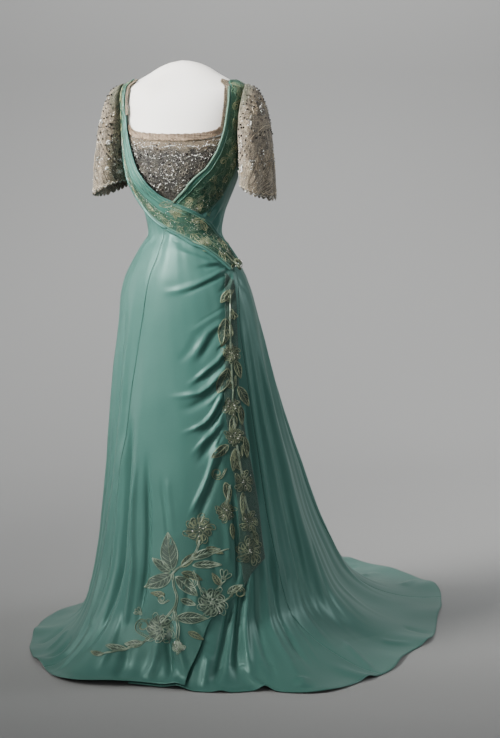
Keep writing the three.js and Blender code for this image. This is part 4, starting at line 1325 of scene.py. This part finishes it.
def leaf(length, width, veins):
    """Threads of a leaf that points up: two outlines, a midrib and its veins."""
    t = np.linspace(0, 1, 14)
    rib, half = leaf_rib(length, t), leaf_half(width, t)
    threads = [(rib + np.stack([side * half, 0 * t], -1), 0.95, False) for side in (-1, 1)]
    threads.append((rib, 0.9, False))
    s = np.linspace(0, 1, 5)[:, None]
    for k in range(1, veins + 1):
        low = k / (veins + 1.6)
        high = min(0.95, low + 0.2)
        root = leaf_rib(length, np.array(low))
        for side in (-1, 1):
            tip = leaf_rib(length, np.array(high)) + np.array([side * 0.86 * leaf_half(width, high), 0])
            mid = (root + tip) / 2 + np.array([side * 0.06 * width, -0.03 * length])
            threads.append(((1 - s) ** 2 * root + 2 * s * (1 - s) * mid + s ** 2 * tip, 0.55, False))
    return threads


def scroll(radius):
    """A tendril: a straight tail that curls into a spiral, and a smaller echo of it."""
    spin = np.linspace(0, 2 * np.pi * 1.35, 26)
    shrink = radius * (1 - 0.72 * spin / spin[-1])
    curl = np.stack([radius - shrink * np.cos(spin), shrink * np.sin(spin)], -1)
    tail = np.stack([np.zeros(6), np.linspace(-1.4 * radius, -0.15 * radius, 6)], -1)
    line = np.concatenate([tail, curl])
    echo = line * 0.78 + np.array([radius * 0.22, -0.1 * radius])
    return [(line, 0.85, False), (echo, 0.6, False)]


def bud(size):
    """Three petals in a cup."""
    petals = [(turned(petal_loop(0, size, size * 0.36), degrees), 0.95, True) for degrees in (-34, 0, 34)]
    return petals + [(petal_loop(-0.35 * size, 0.28 * size, 0.5 * size), 1.0, True)]


MOTIFS = {"rosette": rosette, "leaf": leaf, "scroll": scroll, "bud": bud}

# The narrow border down the wrap's edge, then the spray over its corner:
# kind, angle, station, turn in degrees (anticlockwise, 0 points up), its sizes in mm.
BORDER = [
    ("leaf", 63, 906, 168, (36, 14, 4)),
    ("scroll", 57, 872, 200, (10,)),
    ("leaf", 55, 884, 150, (34, 14, 3)),
    ("bud", 55, 836, 190, (18,)),
    ("leaf", 47.5, 822, 174, (66, 26, 6)),
    ("scroll", 53, 790, 186, (12,)),
    ("rosette", 49, 742, 0, (22,)),
    ("leaf", 51.5, 724, 198, (42, 17, 4)),
    ("leaf", 44.5, 708, 162, (62, 27, 6)),
    ("scroll", 50, 672, 175, (13,)),
    ("leaf", 51, 664, 212, (52, 21, 5)),
    ("rosette", 44.5, 618, 20, (20,)),
    ("leaf", 51, 620, 186, (44, 15, 4)),
    ("leaf", 46, 600, 170, (42, 17, 4)),
    ("rosette", 44.5, 552, 0, (22,)),
    ("leaf", 51.5, 548, 188, (50, 15, 5)),
    ("leaf", 39.5, 532, 132, (48, 21, 5)),
    ("scroll", 49, 510, 180, (14,)),
    ("leaf", 40.5, 504, 222, (40, 18, 4)),
    ("leaf", 44, 522, 176, (52, 18, 5)),
    ("rosette", 47.5, 444, 10, (25,)),
    ("scroll", 35, 460, 150, (15,)),
    ("leaf", 36, 446, 196, (46, 19, 5)),
    ("leaf", 46, 420, 178, (52, 15, 5)),
    ("rosette", 35.5, 380, 30, (24,)),
    ("rosette", 48, 352, 0, (25,)),
    ("rosette", 46, 286, 15, (33,)),
    ("leaf", 50, 330, 196, (32, 13, 3)),
    ("leaf", 38, 352, 190, (36, 14, 4)),
]
SPRAY = [
    ("rosette", 20.5, 342, 0, (33,)),
    ("leaf", 8, 250, 18, (88, 40, 7)),
    ("leaf", 7, 246, 62, (50, 20, 4)),
    ("leaf", 12, 258, -38, (46, 17, 4)),
    ("leaf", 16, 276, -66, (72, 19, 6)),
    ("leaf", 17, 262, -84, (66, 16, 6)),
    ("leaf", 12, 246, -104, (48, 16, 4)),
    ("leaf", 7.5, 240, 126, (68, 30, 6)),
    ("leaf", 9.5, 236, -126, (64, 27, 6)),
    ("leaf", 24, 300, -104, (40, 13, 4)),
    ("scroll", 19, 230, -160, (16,)),
    ("bud", 31.5, 228, -28, (24,)),
    ("leaf", 30, 216, 40, (34, 14, 4)),
    ("rosette", 25.5, 178, 10, (37,)),
    ("leaf", 33, 196, -58, (40, 15, 4)),
    ("scroll", 36, 204, -30, (15,)),
    ("leaf", 12, 186, -104, (34, 14, 3)),
    ("scroll", 5, 176, 120, (11,)),
    ("leaf", 5, 196, 96, (30, 12, 3)),
    ("rosette", 4.5, 122, 0, (36,)),
    ("leaf", 10.5, 146, -84, (68, 25, 6)),
    ("leaf", 15, 118, -112, (36, 13, 4)),
    ("bud", 11.5, 98, 170, (18,)),
    ("rosette", 11.3, 86, 0, (15,)),
    ("scroll", -3.5, 108, 66, (20,)),
    ("leaf", -1, 88, 104, (48, 16, 4)),
    ("leaf", -6, 74, 96, (52, 14, 4)),
    ("leaf", -12, 58, 92, (40, 11, 4)),
    ("bud", -4, 150, 60, (15,)),
]
# Stems as (angle, station) points.
STEMS = [
    [(20.5, 318), (19, 296), (15, 272), (10, 254), (7.5, 240)],
    [(15, 272), (21, 284), (28, 288), (35, 296)],
    [(8, 244), (9, 214), (10.5, 190), (9.5, 168), (6.5, 148)],
    [(10.5, 190), (10, 170), (9.5, 150), (10, 140)],
    [(19, 236), (20, 214), (22, 200)],
    [(31, 222), (28, 206)],
    [(36, 204), (34, 188), (30, 178)],
    [(10, 160), (11.5, 128), (11.5, 104)],
    [(1, 102), (-2, 86), (-8, 70), (-14, 54)],
    [(47, 410), (47.5, 392), (48.5, 372)],
    [(48.5, 326), (48, 312)],
    [(60, 912), (56, 868), (52, 820), (50, 780), (49, 752)],
    [(48, 716), (47, 690), (47, 660), (45.5, 630)],
    [(45, 594), (45.5, 568)],
    [(45.5, 530), (46, 500), (47, 462)],
    [(39, 440), (37, 410), (35.5, 396)],
]

def motif_jobs(threads, row):
    drawn = MOTIFS[row[0]](*row[-1])
    angle, station = flat_on_wrap(row, np.concatenate([local for local, _, _ in drawn]))
    jobs, start = [], 0
    for local, radius, closed in drawn:
        end = start + len(local)
        jobs.append((threads, angle[start:end], station[start:end], 1.0, 1.2 * radius, closed))
        start = end
    return jobs


def make_wrap_embroidery():
    gold, silver = Threads(), Threads()
    jobs = []
    for row in BORDER:
        jobs += motif_jobs(gold, row)
    for k, row in enumerate(SPRAY):
        jobs += motif_jobs(silver if k % 3 else gold, row)
    for points in STEMS:
        legs = len(points) - 1
        angle, station = between_rows(points, np.linspace(0, legs, 8 * legs + 1)).T
        jobs += [(silver, angle + shift, station, 1.1, 1.1, False) for shift in (-0.35, 0.35)]
    lay(on_wrap, jobs)
    gold.build("embroidery_gold", GOLD)
    silver.build("embroidery_silver", SILVER)


def make_wrap_fills():
    """Fills of floss inside the leaves and rosettes, a little raised in the middle."""
    floss = Threads()
    for row in BORDER + SPRAY:
        kind, _, _, _, sizes = row
        if kind == "leaf":
            t = np.linspace(0.06, 0.94, 9)
            half = 0.9 * leaf_half(sizes[1], t)
            rows = [leaf_rib(sizes[0], t) + np.stack([share * half, 0 * t], -1) for share in (-1, 0, 1)]
            lifts = (0.35, 0.9, 0.35)
        elif kind == "rosette":
            t = np.linspace(0, 2 * np.pi, 25)
            rows = [np.stack([np.cos(t), np.sin(t)], -1) * sizes[0] * share for share in (0.02, 0.45, 0.84)]
            lifts = (1.2, 0.9, 0.3)
        else:
            continue
        where = flat_on_wrap(row, np.concatenate(rows))
        grid = on_wrap(*where, np.repeat(lifts, len(rows[0])))[0].reshape(3, -1, 3)
        faces = grid_faces(3, grid.shape[1])
        floss.add(grid, faces[:, ::-1] if kind == "leaf" else faces)
    floss.build("embroidery_floss", FLOSS)


# Small motifs down the bands, numbered 0 to 4: kind and sizes in mm.
BAND_MOTIFS = [
    ("leaf", (38, 16, 4)), ("rosette", (13,)), ("leaf", (28, 12, 3)), ("scroll", (9,)), ("bud", (14,)),
]


def band_jobs(threads, table, t0, share, turn, number):
    """One small motif on a band, at a row and a share of the width from its middle."""
    across = share * band_width(table, t0)[0]
    ends, _ = on_band(table, [t0, min(t0 + 0.05, len(table) - 1.01)], across)
    mm_a_row = max(np.linalg.norm(ends[1] - ends[0]) / 0.05, 8.0)
    kind, sizes = BAND_MOTIFS[number]
    jobs = []
    for local, radius, closed in MOTIFS[kind](*sizes):
        local = turned(local, turn)
        t = np.clip(t0 + local[:, 1] / mm_a_row, 0, len(table) - 1)
        jobs.append((threads, t, across + local[:, 0], 0.8, 0.8 * radius, closed))
    return jobs


def strand_jobs(threads, table, start, end, low, high):
    """Five strands that wander between two shares of a band's width."""
    t = np.linspace(start, end, 150)
    jobs = []
    for k in range(5):
        wander = 0.07 * np.sin(t * (7.5 + 1.3 * k) + 2.1 * k) + 0.03 * np.sin(t * 23 + k)
        share = mix(low, high, (k + 0.5) / 5) + wander
        sway = t + 0.1 * np.sin(t * (15 + 2 * k) + k)
        jobs.append((threads[k % 2], sway, share * band_width(table, t), 0.6, 0.5, False))
    return jobs


def make_band_embroidery():
    gold, green = Threads(), Threads()
    # For each band its runs of motifs, as first row, last, step, then thread, share of the width,
    # turn and motif, each taken by turns; and its strands, as first row, last and two shares.
    work = [
        (RIGHT_BAND, [
            (1.4, 4.6, 0.3, (green, gold, gold), (-0.1, 0.14), (-30, 0, 30), (4, 3)),
            (4.6, 8.0, 0.44, (green, gold), (-0.24,), (-36, 0, 36), (0, 3, 2, 4, 1)),
            (8.2, 12.9, 0.42, (gold,), (0.2, -0.24), (-34, 28, -150, 40), (0, 2, 1, 0, 2)),
            (8.38, 13.08, 0.42, (green,), (-0.3, 0.28), (60, -70, 130), (3, 4, 2)),
        ], [(8.6, 12.8, -0.42, 0.42), (4.6, 8.6, -0.44, -0.06)]),
        (LEFT_BAND, [
            (1.4, 8.9, 0.4, (green,), (0.24, 0.02), (-40, 30, 160, -120), (2, 1, 0, 3)),
            (1.6, 9.1, 0.4, (gold, green, green), (0.36, -0.22), (80, 10, -60), (3, 4, 2)),
            (1.5, 8.8, 0.36, (gold,), (0.14, -0.06, 0.3), (20, 110, -80, 170), (3, 4, 3, 2)),
        ], [(1.6, 8.8, -0.28, 0.44)]),
        (BACK_BAND, [
            (1.0, 8.0, 0.5, (green, gold), (-0.12, 0.12), (-60, 0, 60), (2, 3, 4, 0, 1)),
        ], []),
    ]
    for table, runs, strands in work:
        jobs = []
        for start, stop, step, *by_turns in runs:
            for k, t0 in enumerate(np.arange(start, stop, step)):
                thread, *where = (choices[k % len(choices)] for choices in by_turns)
                jobs += band_jobs(thread, table, t0, *where)
        for strand in strands:
            jobs += strand_jobs((green, gold), table, *strand)
        for flipped in (False, True) if table is BACK_BAND else (False,):
            lay(lambda t, across, lift: on_band(table, t, across, lift, flipped), jobs)
    gold.build("band_embroidery_gold", BAND_GOLD)
    green.build("band_embroidery_green", GREEN_THREAD)


def make_pipings():
    """Fine corded lines along the bands."""
    cords = Threads()
    # band, first row, last, share of the width from its middle, radius, how high it lies
    for table, start, end, share, radius, raised in (
            (RIGHT_BAND, 1, 13, 0.47, 1.3, 0.9), (RIGHT_BAND, 2, 9.5, 0.30, 1.0, 0.8),
            (RIGHT_BAND, 4.5, 13, -0.48, 1.3, 0.9), (RIGHT_BAND, 4.5, 8.6, -0.02, 0.9, 0.9),
            (LEFT_BAND, 4, 8.9, -0.40, 0.8, 0.8), (LEFT_BAND, 3, 6.2, 0.48, 1.0, 0.8)):
        t = np.linspace(start, end, 70)
        cords.thread(*on_band(table, t, share * band_width(table, t), raised), radius, 5)
    cords.build("band_cords", SATIN_CORD, "satin")


# ---- Beads ---------------------------------------------------------------------------------
def make_yoke_beads(random):
    spots, sizes = [], []
    for table, count in ((YOKE_FRONT, 520), (YOKE_BACK, 300)):
        row, share = 0.3 + 0.7 * random.random(count) ** 0.8, 0.06 + 0.88 * random.random(count)
        spots.append(on_yoke(table, row, share, 1.3)[0])
        sizes.append(0.7 + 1.1 * random.random(count) ** 3)
    # swags of larger beads under the neckline, over the V, and round the middle
    for row0, drop, count, waves in ((0.86, 0.05, 110, 7), (0.7, 0.06, 90, 5), (0.36, 0.07, 60, 3)):
        share = np.linspace(0.07, 0.93, count)
        row = row0 + drop * np.abs(np.sin(np.pi * waves * share)) + 0.006 * random.normal(size=count)
        spots.append(on_yoke(YOKE_FRONT, row, share, 1.5)[0])
        sizes.append(0.8 + 1.0 * random.random(count) ** 2)
    cosine, sine = ring_of(30).T
    for wide in (0.035, 0.07):
        away = wide * (1 + 0.08 * random.normal(size=30))
        spots.append(on_yoke(YOKE_FRONT, 0.58 + 1.6 * away * sine, 0.5 + away * cosine, 1.5)[0])
        sizes.append(0.9 + 0.8 * random.random(30))
    row, share = 0.32 + 0.62 * random.random(90), 0.08 + 0.84 * random.random(90)
    beads("beads_yoke", spots, sizes, GLASS)
    return [on_yoke(YOKE_FRONT, row, share, 1.1)[0]]


def make_sleeve_beads(random):
    spots, sizes, dark = [], [], []
    for side in (-1, 1):
        length, degrees = random.random(300), 360 * random.random(300)
        spots.append(on_sleeve(side, length, degrees, 0.9)[0])
        sizes.append(0.8 + 1.2 * random.random(300) ** 3)
        # clusters, in a row above the cuff and a row at the middle
        for row0, steps, shift in ((0.78, 9, 10), (0.4, 8, 30)):
            centre = np.repeat(360 * np.arange(steps) / steps + shift, 14)
            length = row0 + 0.035 * random.normal(size=len(centre))
            degrees = centre + 4.5 * random.normal(size=len(centre))
            spots.append(on_sleeve(side, length, degrees, 1.4)[0])
            sizes.append(1.3 + 0.8 * random.random(len(centre)))
        for row0, steps in ((0.1, 18), (0.17, 20), (0.24, 22), (0.31, 24), (0.5, 24), (0.6, 26)):
            degrees = 360 * (np.arange(steps) + 0.5 * (row0 > 0.2)) / steps
            dark.append(on_sleeve(side, row0, degrees, 0.9)[0])
        spots.append(on_sleeve(side, 0.985, np.linspace(0, 360, 120, endpoint=False), 0.8)[0])
        sizes.append(np.full(120, 1.1))
    beads("beads_sleeves", spots, sizes, GLASS)
    return dark


def make_embroidery_beads(random):
    spots, sizes = [], []
    for row in BORDER + SPRAY:
        if row[0] == "rosette":
            spin = 2 * np.pi * random.random(10)
            away = row[-1][0] * random.random(10)
            local = np.stack([np.cos(spin), np.sin(spin)], -1) * away[:, None]
            spots.append(on_wrap(*flat_on_wrap(row, local), 2.4)[0])
            sizes.append(0.9 + 0.6 * random.random(10))
    for table, count, start, end in ((RIGHT_BAND, 210, 5, 12.8), (LEFT_BAND, 120, 3, 8.8)):
        t = start + (end - start) * random.random(count)
        across = (random.random(count) - 0.5) * 0.8 * band_width(table, t)
        if table is LEFT_BAND:
            across = np.abs(across)
        else:
            across = np.where(t < 8.4, -np.abs(across), across)
        spots.append(on_band(table, t, across, 1.2)[0])
        sizes.append(0.5 + 0.55 * random.random(count))
    beads("beads_embroidery", spots, sizes, GLASS)


def make_beads():
    random = np.random.default_rng(BEAD_SEED)
    dark = np.concatenate(make_yoke_beads(random) + make_sleeve_beads(random))
    beads("beads_dark", [dark], [2.0 + 0.9 * random.random(len(dark))], JET)
    make_embroidery_beads(random)


def make_lace_motifs():
    """Small flowers of cord on the yoke and the sleeves, and rings round the sleeves."""
    cord, yoke_cord = Threads(), Threads()

    def flower(threads, size, place):
        for p in range(6):
            loop = turned(petal_loop(0.25 * size, size, 0.55 * size, count=8), 60 * p)
            threads.thread(*place(loop), 0.62, 4, True)

    for side in (-1, 1):
        for row, count, shift in ((0.34, 10, 0), (0.8, 11, 16)):
            for k in range(count):
                centre = 360 * k / count + shift
                flower(cord, 13, lambda local: on_sleeve(
                    side, row + local[:, 1] / 190, centre + local[:, 0] / 1.42, 0.5))
        for edge in (0.97, 0.56):
            ring = on_sleeve(side, edge, np.linspace(0, 360, 160, endpoint=False), 0.5)
            cord.thread(*ring, 0.8, 4, True)
    # row, how many, their size, and mm to a whole length and width of the net there
    for table, row, count, size, long, wide in (
            (YOKE_FRONT, 0.84, 9, 11, 165, 269.6), (YOKE_FRONT, 0.6, 7, 12, 165, 224),
            (YOKE_FRONT, 0.36, 4, 10, 165, 178.4), (YOKE_FRONT, 0.16, 2, 8, 165, 140.4),
            (YOKE_BACK, 0.8, 7, 12, 262, 210), (YOKE_BACK, 0.5, 5, 12, 262, 210)):
        for k in range(count):
            centre = (k + 0.5) / count
            flower(yoke_cord, size, lambda local: on_yoke(
                table, row + local[:, 1] / long, centre + local[:, 0] / wide, 0.7))
    cord.build("lace_cords", LACE_CORD, "beaded_net")
    yoke_cord.build("lace_cords_yoke", YOKE_CORD, "beaded_net")


# ---- Fastening -----------------------------------------------------------------------------
def make_clasp():
    """A knot of beaded cords with two strands that come from the band's end."""
    where, out = PLAIN.at([CLASP_ANGLE], [CLASP_STATION], CLASP_LIFT)
    centre, out = where[0], out[0]
    side = unit(np.cross(np.array([0, 0, 1.0]), out))
    up = np.cross(out, side)
    knot = Threads()
    spin = np.linspace(0, 2 * np.pi, 24, endpoint=False)
    for k in range(4):
        x, y = turned(np.stack([10.5 * np.cos(spin), 6.0 * np.sin(spin)], -1), 45 * k).T
        bulge = 5.5 + 2.5 * np.cos(spin * 2 + k)
        path = centre + x[:, None] * side + 1.25 * y[:, None] * up + bulge[:, None] * out
        knot.thread(path, np.tile(out, (24, 1)), 2.1, 6, True, flat=1.0)
    for shift in (-5, 5):
        knot.thread(*on_band(RIGHT_BAND, np.linspace(12.2, 13, 12), shift, 2.0), 1.9, 6)
    knot.build("clasp_knot", KNOT_CORD, "bead_knot", "waist_clasp")
    random = np.random.default_rng(BEAD_SEED + 1)
    around = unit(random.normal(size=(34, 3)))
    around = around[(around @ out) > -0.1]
    spots = centre + 4 * out + around * np.array([11.0, 11.0, 12.5])
    beads("clasp_beads", [spots], [np.full(len(spots), 1.5)], GLASS)


# ---- Form and stand ------------------------------------------------------------------------
def make_form():
    """The form's jersey body, whole and smooth, inside the line of the gown."""
    levels = np.concatenate([np.linspace(FORM_BOTTOM, 1345, 74), np.linspace(1349, 1458, 34)])
    angle, station = np.meshgrid(np.linspace(0, 360, 120, endpoint=False), levels)
    points = gown_line(angle, station) - FORM_INSET * outward(angle, station)
    rows, columns = points.shape[:2]
    verts = np.concatenate([points.reshape(-1, 3), points[:1].mean(1), points[-1:].mean(1)])
    faces = grid_faces(rows, columns, True).tolist()
    bottom, top, last = rows * columns, rows * columns + 1, (rows - 1) * columns
    for j in range(columns):
        after = (j + 1) % columns
        faces += [[bottom, after, j], [top, last + j, last + after]]
    return finish_piece(new_object("form_body", verts * MM, faces, FORM_COVER), "form_torso")


def finish_stand():
    for name in ("form_base", "form_pole"):
        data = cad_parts[name].data
        data.materials.clear()
        data.materials.append(STAND_METAL)


def dress():
    form = make_form()
    sheets = {**make_skirt(), **make_overskirt(), **make_bands(), **make_yoke(), **make_sleeves()}
    for name, made in sheets.items():
        finish_piece(made, name)
    make_wrap_embroidery()
    make_wrap_fills()
    make_band_embroidery()
    make_pipings()
    make_lace_motifs()
    make_beads()
    make_clasp()
    finish_stand()


# ---- Floor, light and camera ---------------------------------------------------------------
CAMERA_AROUND = math.radians(22.0)      # from the centre front, towards the wearer's left
CAMERA_DOWN = math.radians(7.55)        # below the horizontal
CAMERA_AWAY = 5.044
CAMERA_HEIGHT = 1.358
FRAME_HEIGHT_PX = 738
FOCAL_PX = 2167
FRAME_MIDDLE_PX = 250
FORM_AXIS_PX = 185          # column of the stand's axis in the frame
SENSOR_MM = 36.0
AHEAD = np.array([-math.sin(CAMERA_AROUND), math.cos(CAMERA_AROUND), 0])
TO_THE_RIGHT = np.array([math.cos(CAMERA_AROUND), math.sin(CAMERA_AROUND), 0])
SWEEP_START = 2.4           # how far behind the stand the paper begins to rise
SWEEP_RADIUS = 1.4
SWEEP_HALF = 9.0
SWEEP_TOP = 7.0
WORLD_COLOUR = (0.80, 0.81, 0.82, 1)
WORLD_STRENGTH = 0.24


def make_stage():
    """A pale sweep of paper behind and under the stand, square to the camera."""
    turn = np.radians(np.linspace(0, 90, 17))
    back = [[-SWEEP_HALF], SWEEP_START + SWEEP_RADIUS * np.sin(turn), [SWEEP_START + SWEEP_RADIUS]]
    back = np.concatenate(back)[:, None, None]
    high = np.concatenate([[0.0], SWEEP_RADIUS * (1 - np.cos(turn)), [SWEEP_TOP]])[:, None, None]
    sides = np.array([-SWEEP_HALF, SWEEP_HALF])[None, :, None]
    below_hem = np.array([0, 0, 0.0004])
    points = back * AHEAD + high * np.array([0, 0, 1.0]) + sides * TO_THE_RIGHT - below_hem
    paper = Finish("studio_paper", Roughness=0.85, Specular_IOR_Level=0.2)
    shade = paper.noise(paper.object_vector(), 0.6, 2.0)
    paper.drive(
        Base_Color=paper.colours(shade, srgb(142, 142, 141), srgb(150, 150, 149)),
        Alpha=paper.inverted(paper.node("NewGeometry")["Backfacing"]))
    new_object("studio_sweep", points, grid_faces(len(back), 2).tolist(), paper.material)
    world = bpy.data.worlds.new("studio")
    world.use_nodes = True
    air = world.node_tree.nodes["Background"].inputs
    air["Color"].default_value = WORLD_COLOUR
    air["Strength"].default_value = WORLD_STRENGTH
    bpy.context.scene.world = world


def place_facing(made, place, direction):
    made.location = place
    made.rotation_euler = Vector(direction).to_track_quat("-Z", "Y").to_euler()
    bpy.context.scene.collection.objects.link(made)


def soft_box(name, place, aim, wide, high, power, colour=(1, 1, 1), spread=180):
    light = bpy.data.lights.new(name, "AREA")
    light.shape = "RECTANGLE"
    light.size, light.size_y = wide, high
    light.energy = power
    light.color = colour
    light.spread = math.radians(spread)
    place_facing(bpy.data.objects.new(name, light), place, Vector(aim) - Vector(place))


def make_lights():
    soft_box("key", (-1.3, -1.9, 2.4), (0, 0, 1.36), 1.2, 1.5, 27, (1.0, 0.985, 0.96), spread=46)
    soft_box("top", (-0.4, 0.6, 3.4), (0, 0.1, 0.8), 2.2, 2.2, 9)
    soft_box("edge", (2.6, 1.6, 1.9), (0, 0.2, 0.7), 0.8, 2.0, 42, (0.94, 0.98, 1.0))
    soft_box("front", (2.4, -4.0, 1.8), (0, 0, 0.9), 2.0, 2.0, 32)
    soft_box("side", (-3.0, -0.4, 1.3), (0, 0, 0.55), 0.8, 2.0, 25)
    soft_box("paper", (0.2, 1.9, 4.6), (-1.4, 3.9, 1.4), 4.0, 2.0, 150, spread=110)


def make_camera():
    data = bpy.data.cameras.new("camera")
    data.sensor_fit = "VERTICAL"
    data.sensor_height = SENSOR_MM
    data.lens = SENSOR_MM * FOCAL_PX / FRAME_HEIGHT_PX
    aside = math.atan((FRAME_MIDDLE_PX - FORM_AXIS_PX) / FOCAL_PX)
    level = AHEAD * math.cos(aside) + TO_THE_RIGHT * math.sin(aside)
    look = level * math.cos(CAMERA_DOWN) - np.array([0, 0, math.sin(CAMERA_DOWN)])
    made = bpy.data.objects.new("camera", data)
    place_facing(made, Vector(-CAMERA_AWAY * AHEAD) + Vector((0, 0, CAMERA_HEIGHT)), look)
    bpy.context.scene.camera = made


make_camera()
make_stage()
make_lights()
dress()
